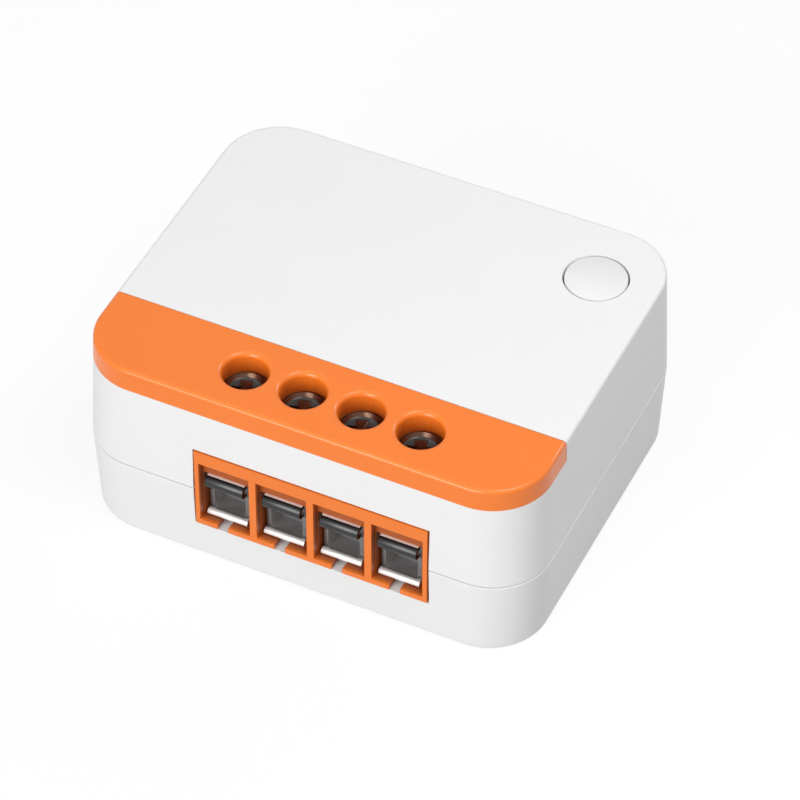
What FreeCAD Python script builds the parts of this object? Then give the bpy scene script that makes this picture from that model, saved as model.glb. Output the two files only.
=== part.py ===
import FreeCAD, Part
import os
from math import cos, radians, sin, tan

from FreeCAD import Vector

# In-wall smart relay switch: a two-shell case with an orange strip over the screw holes,
# an orange terminal block with four rising clamps, a push button and the boards inside.
# Millimetres. X runs along the terminal side, Y to the back, Z up, origin under the middle.

# Case
case_width = 39.5            # across the parting line, where the case is widest
case_depth = 32.1
case_height = 17.7
corner_radius = 5.0
parting_height = 7.44
draft_angle = 2.0            # outer faces taper away from the parting line
wall = 1.5                   # at the ceiling; the inner faces stand upright
floor_thickness = 1.2
top_thickness = 1.2
edge_radius = 0.35
edge_steps = 2               # flat steps that round an edge off
parting_gap = 0.1            # fine groove between the shells
tongue_thickness = 0.6       # rim of the lower shell inside the upper one
tongue_height = 1.3
tongue_gap = 0.1
catch_depth = 0.3            # snap catches on that rim
catch_width = 4.0
catch_height = 0.7
catch_setback = 8.6          # from the middle of a side to its two catches

# Strip over the screw holes
strip_reach = 8.09           # back from the front plane
strip_thickness = 2.0
strip_gap = 0.05
access_radius = 1.9
access_rim = 0.25
tab_thickness = 1.0          # two tabs under the strip hold it in slots of the case
tab_width = 2.6
tab_length = 2.4
tab_inset = 4.2              # in from the side of the case

# Terminal block
terminal_count = 4
terminal_pitch = 5.0
terminal_offset = 1.41       # middle of the block to the right of the middle of the case
partition = 0.6              # between neighbouring mouths
mouth_height = 6.3
mouth_depth = 0.75
rail_bottom = 0.6
rail_top = 1.36
frame_side = 0.45
window_gap = 0.1
shoulder = 0.6               # the body is wider than its front frame
chamber_side_gap = 0.25      # beside each cage
metal_offset = -0.2          # the metal lies left of the middle of its mouth
chamber_end_gap = 0.2
rear_wall = 0.8
front_clearance = 0.15       # block body behind the inner face of the front wall
slot_width = 0.95            # notch in the bottom rail
slot_length = 2.4
ridge_radius = 2.25          # raised ridge with the four screw wells
ridge_gap = 0.1
block_peg_width = 1.1
block_peg_length = 1.0

# Rising clamps
cage_sheet = 0.38
cage_screw_gap = 0.07        # between the screw and the nearer side wall
cage_bend = 0.55             # outer radius of the bends
cage_lift_gap = 0.05         # under the cage when the clamp is open
cage_rear = 2.9              # behind the screw axis
nut_thickness = 0.8
nut_length = 4.4
nut_gap = 0.3                # between the bar and the threaded wall, clamp open
shoulder_height = 2.75       # height of the side walls in front of the threaded wall
pad_height = 0.5             # pressed-up pad under the bar
pad_length = 3.0
pad_slope = 0.17
pad_margin = 0.15
nose_radius = 0.27           # rounding of the lip where the wire comes in
roll_gap = 0.15              # between the cage and the rolled lip of the bar
wire_room = 3.16             # cage floor to bar, clamp open
clamp_turns = 5
thread_pitch = 0.45

# Contact bars
bar_sheet = 0.38
bar_side_gap = 0.25          # between the bar and the side walls of the cage
roll_radius = 0.52
roll_setback = 0.68          # axis of the roll behind the front plane
roll_opening = 50.0          # degrees left open in the rolled lip
leg_gap = 0.1
pin_width = 1.0
pin_below_board = 0.7

# Clamp screws
screw_setback = 4.17         # screw axis behind the front plane
screw_radius = 1.1
screw_fit = 0.06
head_radius = 1.78
head_height = 1.5
head_depth = 1.6             # top of the head under the top of the strip
head_proud = 0.55            # top of the head above its well
head_fit = 0.08
head_seat_gap = 0.05
recess_width = 0.72
recess_length = 2.5
recess_depth = 1.0
recess_turn = 20.0
tip_gap = 0.05

# Push button and its switch
button_from_side = 5.57
button_from_back = 6.42
button_radius = 2.55
button_gap = 0.15
button_rise = 0.25           # crown above the top of the case
button_crown = 0.27          # how far the middle stands above the rim
button_bevel = 0.13
crown_steps = 2
flange_width = 0.6
flange_thickness = 0.7
flange_gap = 0.15
stem_radius = 1.2
stem_length = 1.25           # below the flange
press_travel = 0.3
tact_size = 6.0
tact_height = 3.4
tact_bevel = 0.5
tact_plate = 0.3
tact_plate_margin = 0.2
tact_plunger_radius = 1.7
tact_plunger_height = 1.5
tact_plunger_fit = 0.08
tact_plunger_room = 1.2
stem_gap = 0.02

# Boards
board_thickness = 1.2
solder_room = 1.2
board_gap = 0.22
post_width = 2.2
post_inset = 1.6
rib_thickness = 1.2
rib_width = 0.6
rib_clear = 0.15             # between the ribs and the parts beside them
rib_tact_gap = 0.5           # between the rear ribs and the button's switch
rib_gap = 0.1
radio_thickness = 1.0
radio_back_gap = 0.6
radio_front_gap = 1.3        # behind the legs of the contact bars
radio_side_gap = 0.6         # beside the relay
radio_bevel = 0.5            # at its corners
radio_pins_from_front = 6.0  # middle of the two rows of pins
header_pin = 0.5
header_pitch = 2.0
header_count = 4
header_width = 1.9
header_inset = 1.1
pin_fit = 0.12
shield_side_gap = 0.5        # beside the two rows of pins
shield_height = 2.0
shield_wall = 0.25
shield_from_front = 1.2
shield_back_gap = 1.1        # in front of the button's switch

# Relay
relay_length = 20.2
relay_width = 10.2
relay_height = 11.0
relay_bevel = 0.5
relay_base_margin = 0.25
relay_back_gap = 0.7
relay_base_height = 1.2
relay_pin = 0.8
relay_pin_inset = 2.4

# Other parts on the main board
capacitor_radius = 3.15
capacitor_height = 10.8
capacitor_bead = 0.2
small_capacitor_radius = 2.0
small_capacitor_height = 2.8
inductor_radius = 2.5
inductor_height = 7.5
varistor_radius = 3.1
varistor_thickness = 2.8
resistor_radius = 1.0
resistor_length = 4.2
lead_width = 0.5
lead_stand = 0.9             # under the varistor
lead_reach = 0.5             # beyond the ends of the resistor
part_gap = 0.6               # free space between neighbouring parts
chip_height = 1.5
rectifier_width = 4.7
rectifier_depth = 3.9
chip_width = 4.9
chip_depth = 3.9
chip_leg_width = 0.5
chip_leg_height = 0.25
chip_leg_reach = 0.5
chip_leg_count = 4           # on each side
chip_stand = 0.12            # under the package

# Planes and levels that follow from the sizes above
mouth_width = terminal_pitch - partition
cage_inner = 2 * (screw_radius + cage_screw_gap + abs(metal_offset))
cage_width = cage_inner + 2 * cage_sheet
chamber_width = cage_width + 2 * chamber_side_gap
bar_width = cage_inner - 2 * bar_side_gap
front_plane = -case_depth / 2
back_plane = case_depth / 2
taper = tan(radians(draft_angle))
strip_bottom = case_height - strip_thickness
strip_back = front_plane + strip_reach
ceiling = case_height - top_thickness
inner_inset = wall + taper * (ceiling - parting_height)
shelf_bottom = strip_bottom - top_thickness

board_bottom = floor_thickness + solder_room
board_top = board_bottom + board_thickness
block_bottom = board_top
chamber_floor = block_bottom + rail_bottom
mouth_top = chamber_floor + mouth_height
frame_top = mouth_top + rail_top
block_top = shelf_bottom - window_gap

cage_bottom = chamber_floor + cage_lift_gap
cage_floor = cage_bottom + cage_sheet
bar_bottom = cage_floor + wire_room
bar_top = bar_bottom + bar_sheet
nut_bottom = bar_top + nut_gap
cage_top = nut_bottom + nut_thickness
clamp_travel = clamp_turns * thread_pitch
chamber_top = cage_top + clamp_travel + chamber_end_gap

mouth_back = front_plane + mouth_depth
roll_y = front_plane + roll_setback
roll_z = bar_bottom + roll_radius
cage_front = roll_y + roll_radius + roll_gap
screw_y = front_plane + screw_setback
nut_front = screw_y - nut_length / 2
cage_back = screw_y + cage_rear
chamber_back = cage_back + chamber_end_gap
block_back = chamber_back + rear_wall
block_front = front_plane + inner_inset + front_clearance
leg_front = block_back + leg_gap

head_top = case_height - head_depth
head_bottom = head_top - head_height
well_floor = head_bottom - head_seat_gap
well_radius = head_radius + head_fit
ridge_top = head_top - head_proud

board_half_width = case_width / 2 - inner_inset - board_gap
board_half_depth = case_depth / 2 - inner_inset - board_gap
board_corner = corner_radius - inner_inset - board_gap

button_x = case_width / 2 - button_from_side
button_y = back_plane - button_from_back
flange_radius = button_radius + flange_width
flange_top = ceiling - flange_gap
flange_bottom = flange_top - flange_thickness
plunger_top = flange_bottom - stem_length - stem_gap
tact_bottom = plunger_top - tact_plunger_height - tact_height
radio_top = tact_bottom
radio_bottom = radio_top - radio_thickness
radio_right = board_half_width - rib_width - rib_clear
relay_left = -board_half_width + rib_width + rib_clear
radio_left = relay_left + relay_length + radio_side_gap
radio_back = board_half_depth - radio_back_gap
radio_front = leg_front + bar_sheet + radio_front_gap
relay_back = board_half_depth - relay_back_gap
relay_front = relay_back - relay_width


def terminal_centres():
    first = terminal_offset - terminal_pitch * (terminal_count - 1) / 2
    return [first + terminal_pitch * index for index in range(terminal_count)]


def metal_centre(terminal):
    return terminal_centres()[terminal] + metal_offset


# Helpers for plain forms

def box(x_low, x_high, y_low, y_high, z_low, z_high):
    return Part.makeBox(x_high - x_low, y_high - y_low, z_high - z_low, Vector(x_low, y_low, z_low))


def upright(x, y, radius, z_low, z_high):
    return Part.makeCylinder(radius, z_high - z_low, Vector(x, y, z_low))


def turned(x, y, profile):
    """Solid of revolution about the vertical through (x, y), from points of (radius, height)."""
    points = [Vector(x + radius, y, height) for radius, height in profile]
    face = Part.Face(Part.makePolygon(points + points[:1]))
    return face.revolve(Vector(x, y, 0), Vector(0, 0, 1), 360)


def side_profile(points, x_low, x_high):
    """Solid from points of (y, z), drawn out along X."""
    corners = [Vector(x_low, y, z) for y, z in points]
    face = Part.Face(Part.makePolygon(corners + corners[:1]))
    return face.extrude(Vector(x_high - x_low, 0, 0))


def outline(half_x, half_y, radius, z):
    """Rounded rectangle of four lines and four quarter arcs."""
    edges = []
    for quarter in range(4):
        turn = radians(90 * quarter)
        sign_x = 1 if quarter in (0, 3) else -1
        sign_y = 1 if quarter in (0, 1) else -1
        centre = Vector(sign_x * (half_x - radius), sign_y * (half_y - radius), z)
        start = centre + Vector(cos(turn), sin(turn), 0) * radius
        middle = centre + Vector(cos(turn + radians(45)), sin(turn + radians(45)), 0) * radius
        end = centre + Vector(cos(turn + radians(90)), sin(turn + radians(90)), 0) * radius
        edges.append((start, middle, end))
    shapes = []
    for index, (start, middle, end) in enumerate(edges):
        shapes.append(Part.Arc(start, middle, end).toShape())
        shapes.append(Part.LineSegment(end, edges[(index + 1) % 4][0]).toShape())
    return Part.Wire(shapes)


def case_outline(z, inset, tighten):
    """Outline of the case, drawn in by an inset and with its corners tightened."""
    return outline(case_width / 2 - inset, case_depth / 2 - inset, corner_radius - tighten, z)


def inner_block(grow, z_low, z_high):
    """Upright block of the case's inner outline, grown by a distance."""
    inset = inner_inset - grow
    return Part.Face(case_outline(z_low, inset, inset)).extrude(Vector(0, 0, z_high - z_low))


def round_off(radius):
    """Steps of a rounded edge, as pairs of how far along and how far in."""
    turns = [radians(90 * step / edge_steps) for step in range(edge_steps + 1)]
    return [(radius * sin(turn), radius * (1 - cos(turn))) for turn in turns]


def long_hole(x_low, x_high, y, radius, z_low, z_high):
    """Block with round ends, such as the ridge of the screw wells and the hole it stands in."""
    middle = box(x_low, x_high, y - radius, y + radius, z_low, z_high)
    ends = [upright(x, y, radius, z_low, z_high) for x in (x_low, x_high)]
    return middle.fuse(ends).removeSplitter()


# Case shells

def shell_outside(z_parting, z_face):
    """Outside of one shell: a tapered wall, then the rounded edge of its flat face."""
    side = 1 if z_face > z_parting else -1
    wall_end = z_face - side * edge_radius
    shrink = taper * abs(wall_end - z_parting)
    sections = [case_outline(z_parting, 0, 0)]
    for along, inward in round_off(edge_radius):
        sections.append(case_outline(wall_end + side * along, shrink + inward, inward))
    return Part.makeLoft(sections, True, True)


def upper_outside():
    return shell_outside(parting_height + parting_gap / 2, case_height)


def lower_outside():
    return shell_outside(parting_height - parting_gap / 2, 0)


def window():
    """Opening for the front frame of the terminal block, in both shells."""
    low, high = frame_sides()
    return box(low - window_gap, high + window_gap, front_plane - wall, block_front,
               block_bottom - window_gap / 2, frame_top + window_gap)


def frame_sides():
    centres = terminal_centres()
    return (centres[0] - mouth_width / 2 - frame_side, centres[-1] + mouth_width / 2 + frame_side)


def ridge(radius, z_low, z_high):
    centres = terminal_centres()
    return long_hole(centres[0], centres[-1], screw_y, radius, z_low, z_high)


def catch_places():
    """Each snap catch: its middle on the rim and the direction it points in."""
    side = case_width / 2
    end = case_depth / 2
    return [(side, catch_setback, 1, 0), (side, -catch_setback, 1, 0),
            (-side, catch_setback, -1, 0), (-side, -catch_setback, -1, 0),
            (catch_setback, end, 0, 1), (-catch_setback, end, 0, 1)]


def catches(grow):
    """Ridges on the rim of the lower shell; grown by a clearance they cut their pockets."""
    face_inset = inner_inset - tongue_thickness
    middle = parting_height + tongue_height / 2
    half = catch_width / 2 + grow
    shapes = []
    for x, y, across, along in catch_places():
        root = face_inset + tongue_thickness / 2
        tip = face_inset - catch_depth - grow
        if across:
            x_low, x_high = sorted((x - across * root, x - across * tip))
            shapes.append(box(x_low, x_high, y - half, y + half,
                              middle - catch_height / 2 - grow, middle + catch_height / 2 + grow))
        else:
            y_low, y_high = sorted((y - along * root, y - along * tip))
            shapes.append(box(x - half, x + half, y_low, y_high,
                              middle - catch_height / 2 - grow, middle + catch_height / 2 + grow))
    return shapes


def hold_down_ribs():
    """Ribs of the upper shell that keep the main board on its posts."""
    reach = board_half_width - rib_width
    rib_y = button_y - tact_size / 2 - rib_tact_gap - rib_thickness / 2
    ribs = []
    for side in (-1, 1):
        for y in (-rib_y, rib_y):
            x_low, x_high = sorted((side * reach, side * case_width / 2))
            ribs.append(box(x_low, x_high, y - rib_thickness / 2, y + rib_thickness / 2,
                            board_top + rib_gap, ceiling))
    rim_top = parting_height + tongue_height + tongue_gap
    inside_upper = inner_block(wall / 2, rim_top, ceiling)
    inside_lower = inner_block(-tongue_gap, board_top, rim_top)
    allowed = inside_upper.fuse(inside_lower)
    return [rib.common(allowed) for rib in ribs]


def strip_tabs(grow):
    """Two tabs under the strip; grown by a clearance they cut their slots."""
    half_x = tab_thickness / 2 + grow
    half_y = tab_width / 2 + grow
    tabs = []
    for side in (-1, 1):
        x = side * (case_width / 2 - tab_inset)
        tabs.append(box(x - half_x, x + half_x, screw_y - half_y, screw_y + half_y,
                        strip_bottom - tab_length, strip_bottom))
    return tabs


def upper_case():
    body = upper_outside()
    strip_step = box(-case_width, case_width, -case_depth, strip_back, strip_bottom, 2 * case_height)
    cavity = inner_block(0, parting_height, ceiling)
    below_shelf = box(-case_width, case_width, -case_depth, strip_back + top_thickness,
                      shelf_bottom, 2 * case_height)
    cavity = cavity.cut(below_shelf)
    rebate = inner_block(tongue_thickness + tongue_gap, parting_height,
                         parting_height + tongue_height + tongue_gap)
    body = body.cut([strip_step, cavity, rebate, window()])
    body = body.cut(catches(tongue_gap))
    body = body.cut(ridge(ridge_radius + ridge_gap, block_top - ridge_gap, strip_bottom))
    body = body.fuse(hold_down_ribs())
    body = body.cut(upright(button_x, button_y, button_radius + button_gap, ceiling, case_height))
    return body.cut(strip_tabs(strip_gap)).removeSplitter()


def lower_case():
    body = lower_outside()
    rim_top = parting_height + tongue_height
    body = body.fuse(inner_block(tongue_thickness, parting_height - parting_gap, rim_top))
    body = body.cut(inner_block(0, floor_thickness, rim_top))
    body = body.fuse(catches(0))
    body = body.cut(window())
    posts = [square_pin(x, y, post_width, floor_thickness, board_bottom) for x, y in post_places()]
    return body.fuse(posts).removeSplitter()


def post_places():
    x = board_half_width - post_inset
    y = board_half_depth - post_inset
    return [(-x, -y), (x, -y), (-x, y), (x, y)]


def front_strip():
    body = upper_outside().common(box(-case_width, case_width, -case_depth, strip_back - strip_gap,
                                      strip_bottom, case_height))
    body = body.cut(ridge(ridge_radius + ridge_gap, strip_bottom, head_top + strip_gap))
    body = body.cut([access_hole(x) for x in terminal_centres()])
    return body.fuse(strip_tabs(0)).removeSplitter()


def access_hole(x):
    """Screwdriver hole with a bevelled rim, as the solid to take away."""
    return turned(x, screw_y, [
        (0, strip_bottom), (access_radius, strip_bottom), (access_radius, case_height - access_rim),
        (access_radius + access_rim, case_height), (0, case_height)])


# Terminals

def terminal_block():
    low, high = frame_sides()
    body = box(low, high, front_plane, block_front, block_bottom, frame_top)
    body = body.fuse(box(low - shoulder, high + shoulder, block_front, block_back,
                         block_bottom, block_top))
    body = body.fuse(ridge(ridge_radius, block_top, ridge_top)).removeSplitter()
    openings = []
    for terminal, centre in enumerate(terminal_centres()):
        metal = metal_centre(terminal)
        half = chamber_width / 2
        openings.append(box(centre - mouth_width / 2, centre + mouth_width / 2,
                            front_plane, mouth_back, chamber_floor, mouth_top))
        openings.append(box(metal - half, metal + half, mouth_back, chamber_back,
                            chamber_floor, mouth_top))
        openings.append(box(metal - half, metal + half, nut_front - chamber_end_gap, chamber_back,
                            mouth_top, chamber_top))
        openings.append(box(metal - slot_width / 2, metal + slot_width / 2,
                            front_plane, front_plane + slot_length, block_bottom, chamber_floor))
        openings.append(box(metal - bar_width / 2 - screw_fit, metal + bar_width / 2 + screw_fit,
                            chamber_back, block_back, bar_bottom - screw_fit, bar_top + screw_fit))
        openings.append(upright(centre, screw_y, well_radius, well_floor, ridge_top))
        openings.append(square_pin(centre, screw_y, 2 * screw_radius + 4 * screw_fit,
                                   chamber_top, well_floor))
    pegs = [square_pin(x, y, block_peg_width, board_top - block_peg_length, board_top)
            for x, y in block_peg_places()]
    return body.cut(openings).fuse(pegs).removeSplitter()


def block_peg_places():
    low, high = frame_sides()
    return [(low + block_peg_width / 2, screw_y), (high - block_peg_width / 2, screw_y)]


def bent_sheet(x_low, x_high, y_low, y_high, z_low, z_high, radius):
    """Block like the outside of a folded sheet: round bends below, bevelled ones on top."""
    body = box(x_low, x_high, y_low, y_high, z_low, z_high)
    body = body.makeFillet(radius, edges_along_y(body, z_low))
    return body.makeChamfer(radius / 2, edges_along_y(body, z_high))


def edges_along_y(body, z):
    """Long edges of a block that lie at one height."""
    length = body.BoundBox.YLength
    return [edge for edge in body.Edges
            if abs(edge.BoundBox.YLength - length) < 0.001 and edge.BoundBox.ZLength < 0.001
            and abs(edge.BoundBox.ZMin - z) < 0.001]


def clamp_cage(terminal):
    """Bent sheet box that carries the wire: a floor with a lip, two sides and a threaded top."""
    centre = metal_centre(terminal)
    half = cage_width / 2
    inner = cage_inner / 2
    body = bent_sheet(centre - half, centre + half, cage_front, cage_back,
                      cage_bottom, cage_top, cage_bend)
    hollow = box(centre - inner, centre + inner, cage_front, cage_back, cage_floor, nut_bottom)
    front_cut = box(centre - half, centre + half, cage_front, nut_front,
                    cage_bottom + shoulder_height, cage_top)
    rear_cut = box(centre - half, centre + half, screw_y + nut_length / 2, cage_back,
                   cage_bottom + shoulder_height, cage_top)
    body = body.cut([hollow, front_cut, rear_cut])
    body = body.fuse([cage_lip(centre), cage_pad(centre)])
    thread = upright(terminal_centres()[terminal], screw_y, screw_radius + screw_fit,
                     nut_bottom, cage_top)
    return body.cut(thread).removeSplitter()


def cage_lip(centre):
    """Front lip of the cage floor, rounded over where the wire comes in."""
    half = cage_width / 2
    lip = box(centre - half, centre + half, mouth_back, cage_front + cage_bend, cage_bottom, cage_floor)
    nose = [edge for edge in lip.Edges
            if abs(edge.BoundBox.YMax - mouth_back) < 0.001
            and abs(edge.BoundBox.ZMin - cage_floor) < 0.001]
    return lip.makeFillet(nose_radius, nose)


def cage_pad(centre):
    """Pressed-up pad that pushes the wire against the bar."""
    inner = cage_inner / 2 - pad_margin
    front = screw_y - pad_length / 2
    back = screw_y + pad_length / 2
    profile = [(front, cage_floor), (front + pad_slope, cage_floor + pad_height),
               (back - pad_slope, cage_floor + pad_height), (back, cage_floor)]
    return side_profile(profile, centre - inner, centre + inner)


def rolled_lip(centre):
    """Front edge of a bar, rolled upwards into an open tube."""
    half = cage_width / 2
    start = Vector(centre - half, roll_y, roll_z)
    tube = Part.makeCylinder(roll_radius, cage_width, start, Vector(1, 0, 0))
    core = Part.makeCylinder(roll_radius - bar_sheet, cage_width, start, Vector(1, 0, 0))
    gap = side_profile([(roll_y, roll_z),
                        (roll_y + 2 * roll_radius, roll_z),
                        (roll_y + 2 * roll_radius, roll_z + 2 * roll_radius * tan(radians(roll_opening)))],
                       centre - half, centre + half)
    return tube.cut([core, gap])


def contact_bar(terminal):
    """Fixed current bar: rolled lip, tongue through the cage, leg down to the board."""
    centre = metal_centre(terminal)
    half = bar_width / 2
    leg_back = leg_front + bar_sheet
    tongue = side_profile([(roll_y, bar_bottom), (leg_front, bar_bottom), (leg_front, bar_top),
                           (roll_y, bar_top)], centre - half, centre + half)
    core = Part.makeCylinder(roll_radius - bar_sheet, cage_width,
                             Vector(centre - cage_width / 2, roll_y, roll_z), Vector(1, 0, 0))
    leg = box(centre - half, centre + half, leg_front, leg_back, board_top, bar_top)
    pin = box(centre - pin_width / 2, centre + pin_width / 2, leg_front, leg_back,
              board_bottom - pin_below_board, board_top)
    body = tongue.cut(core).fuse([rolled_lip(centre), leg, pin]).removeSplitter()
    bend = [edge for edge in body.Edges
            if abs(edge.BoundBox.YMin - leg_back) < 0.001 and abs(edge.BoundBox.ZMin - bar_top) < 0.001]
    return body.makeFillet(bar_sheet, bend)


def clamp_screw(terminal):
    centre = terminal_centres()[terminal]
    tip = bar_top + tip_gap
    body = turned(centre, screw_y, [(0, tip), (screw_radius, tip), (screw_radius, head_bottom),
                                    (head_radius, head_bottom), (head_radius, head_top), (0, head_top)])
    half = recess_width / 2
    reach = recess_length / 2
    for turn in (recess_turn, recess_turn + 90):
        blade = box(-reach, reach, -half, half, head_top - recess_depth, head_top)
        blade.rotate(Vector(0, 0, 0), Vector(0, 0, 1), turn)
        blade.translate(Vector(centre, screw_y, 0))
        body = body.cut(blade)
    return body


# Push button and switch

def button_cap():
    top = case_height + button_rise
    profile = [(0, plunger_top + stem_gap), (stem_radius, plunger_top + stem_gap),
               (stem_radius, flange_bottom), (flange_radius, flange_bottom), (flange_radius, flange_top),
               (button_radius, flange_top), (button_radius, top - button_crown - button_bevel)]
    for step in range(crown_steps, -1, -1):
        share = step / crown_steps
        profile.append((share * (button_radius - button_bevel), top - button_crown * share ** 2))
    return turned(button_x, button_y, profile)


def tact_places():
    half = tact_size / 2
    return (button_x - half, button_x + half, button_y - half, button_y + half)


def tact_body():
    x_low, x_high, y_low, y_high = tact_places()
    top = tact_bottom + tact_height - tact_plate
    body = box(x_low, x_high, y_low, y_high, tact_bottom, top)
    uprights = [edge for edge in body.Edges if edge.BoundBox.ZLength > tact_height / 2]
    body = body.makeChamfer(tact_bevel, uprights)
    return body.cut(upright(button_x, button_y, tact_plunger_radius + tact_plunger_fit,
                            top + tact_plate - tact_plunger_room, top))


def tact_plate_cover():
    x_low, x_high, y_low, y_high = tact_places()
    top = tact_bottom + tact_height
    plate = box(x_low + tact_plate_margin, x_high - tact_plate_margin,
                y_low + tact_plate_margin, y_high - tact_plate_margin, top - tact_plate, top)
    return plate.cut(upright(button_x, button_y, tact_plunger_radius + tact_plunger_fit,
                             top - tact_plate, top))


def tact_plunger():
    low = tact_bottom + tact_height - tact_plunger_room + press_travel + stem_gap
    return upright(button_x, button_y, tact_plunger_radius, low, plunger_top)


# Boards

def main_board():
    body = Part.Face(outline(board_half_width, board_half_depth, board_corner, board_bottom))
    body = body.extrude(Vector(0, 0, board_thickness))
    holes = []
    for terminal in range(terminal_count):
        centre = metal_centre(terminal)
        holes.append(box(centre - pin_width / 2 - pin_fit, centre + pin_width / 2 + pin_fit,
                         leg_front - pin_fit, leg_front + bar_sheet + pin_fit, board_bottom, board_top))
    for places, width in ((block_peg_places(), block_peg_width), (header_places(), header_pin),
                          (relay_pin_places(), relay_pin), (lead_places(), lead_width)):
        holes += [square_pin(x, y, width + 2 * pin_fit, board_bottom, board_top) for x, y in places]
    return body.cut(holes)


def header_places():
    """Pins in two rows between the main board and the radio board."""
    places = []
    middle = radio_front + radio_pins_from_front
    for x in (radio_left + header_inset, radio_right - header_inset):
        for index in range(header_count):
            places.append((x, middle + header_pitch * (index - (header_count - 1) / 2)))
    return places


def square_pin(x, y, width, z_low, z_high):
    half = width / 2
    return box(x - half, x + half, y - half, y + half, z_low, z_high)


def header_pins():
    return Part.makeCompound([square_pin(x, y, header_pin, board_bottom - pin_below_board,
                                         radio_top + pin_below_board) for x, y in header_places()])


def header_spacers():
    spacers = []
    places = header_places()
    for row in range(2):
        x, y_first = places[row * header_count]
        y_last = places[row * header_count + header_count - 1][1]
        margin = header_pitch / 2
        spacer = box(x - header_width / 2, x + header_width / 2, y_first - margin, y_last + margin,
                     board_top, radio_bottom)
        pins = [square_pin(pin_x, pin_y, header_pin + pin_fit, board_top, radio_bottom)
                for pin_x, pin_y in places[row * header_count:(row + 1) * header_count]]
        spacers.append(spacer.cut(pins))
    return Part.makeCompound(spacers)


def radio_board():
    body = box(radio_left, radio_right, radio_front, radio_back, radio_bottom, radio_top)
    uprights = [edge for edge in body.Edges if edge.BoundBox.ZLength > radio_thickness / 2]
    body = body.makeChamfer(radio_bevel, uprights)
    return body.cut([square_pin(x, y, header_pin + 2 * pin_fit, radio_bottom, radio_top)
                     for x, y in header_places()])


def radio_shield():
    side = header_inset + header_width / 2 + shield_side_gap
    left, right = radio_left + side, radio_right - side
    low = radio_front + shield_from_front
    high = button_y - tact_size / 2 - shield_back_gap
    body = box(left, right, low, high, radio_top, radio_top + shield_height)
    outer = [edge for edge in body.Edges if edge.BoundBox.ZMax > radio_top + shield_height / 2]
    body = body.makeChamfer(shield_wall, outer)
    inside = box(left + shield_wall, right - shield_wall, low + shield_wall, high - shield_wall,
                 radio_top, radio_top + shield_height - shield_wall)
    return body.cut(inside)


# Relay

def relay_pin_places():
    x_low = relay_left + relay_pin_inset
    x_high = relay_left + relay_length - relay_pin_inset
    y_low = relay_front + relay_pin_inset
    y_high = relay_back - relay_pin_inset
    return [(x_low, y_low), (x_low, y_high), (x_high, y_low), (x_high, y_high)]


def relay_cover():
    body = box(relay_left, relay_left + relay_length, relay_front, relay_back,
               board_top + relay_base_height, board_top + relay_height)
    outer = [edge for edge in body.Edges
             if edge.BoundBox.ZMax > board_top + relay_height / 2]
    return body.makeChamfer(relay_bevel, outer)


def relay_base():
    return box(relay_left + relay_base_margin, relay_left + relay_length - relay_base_margin,
               relay_front + relay_base_margin, relay_back - relay_base_margin,
               board_top, board_top + relay_base_height)


def relay_pins():
    return Part.makeCompound([square_pin(x, y, relay_pin, board_bottom - pin_below_board, board_top)
                              for x, y in relay_pin_places()])


# Supply parts in a row in front of the relay

def supply_row():
    """Places along X of the capacitor, the inductor and the varistor, left to right."""
    capacitor = relay_left + capacitor_radius
    inductor = capacitor + capacitor_radius + part_gap + inductor_radius
    varistor = inductor + inductor_radius + part_gap + varistor_thickness / 2
    return capacitor, inductor, varistor


def row_y(depth_radius):
    return relay_front - part_gap - depth_radius


def resistor_place():
    """Middle of the resistor, which lies along Y at the right end of the row."""
    x = supply_row()[2] + varistor_thickness / 2 + part_gap + resistor_radius
    return x, row_y(resistor_length / 2 + lead_reach + lead_width / 2)


def lead_places():
    capacitor, inductor, varistor = supply_row()
    places = []
    for x, y, spread in ((capacitor, row_y(capacitor_radius), capacitor_radius / 2),
                         (inductor, row_y(inductor_radius), inductor_radius / 2)):
        places += [(x - spread, y), (x + spread, y)]
    y = row_y(varistor_radius)
    places += [(varistor, y - varistor_radius / 2), (varistor, y + varistor_radius / 2)]
    x, y = resistor_place()
    reach = resistor_length / 2 + lead_reach
    places += [(x, y - reach), (x, y + reach)]
    return places


def can(x, y, radius, height):
    """Upright capacitor with a bevelled rim."""
    top = board_top + height
    return turned(x, y, [(0, board_top), (radius, board_top), (radius, top - capacitor_bead),
                         (radius - capacitor_bead, top), (0, top)])


def bulk_capacitor():
    x = supply_row()[0]
    y = row_y(capacitor_radius)
    return can(x, y, capacitor_radius, capacitor_height)


def inductor():
    x = supply_row()[1]
    y = row_y(inductor_radius)
    return upright(x, y, inductor_radius, board_top, board_top + inductor_height)


def varistor():
    x = supply_row()[2]
    y = row_y(varistor_radius)
    z = board_top + lead_stand + varistor_radius
    return Part.makeCylinder(varistor_radius, varistor_thickness,
                             Vector(x - varistor_thickness / 2, y, z), Vector(1, 0, 0))


def fuse_resistor():
    x, y = resistor_place()
    z = board_top + resistor_radius
    return Part.makeCylinder(resistor_radius, resistor_length,
                             Vector(x, y - resistor_length / 2, z), Vector(0, 1, 0))


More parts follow.
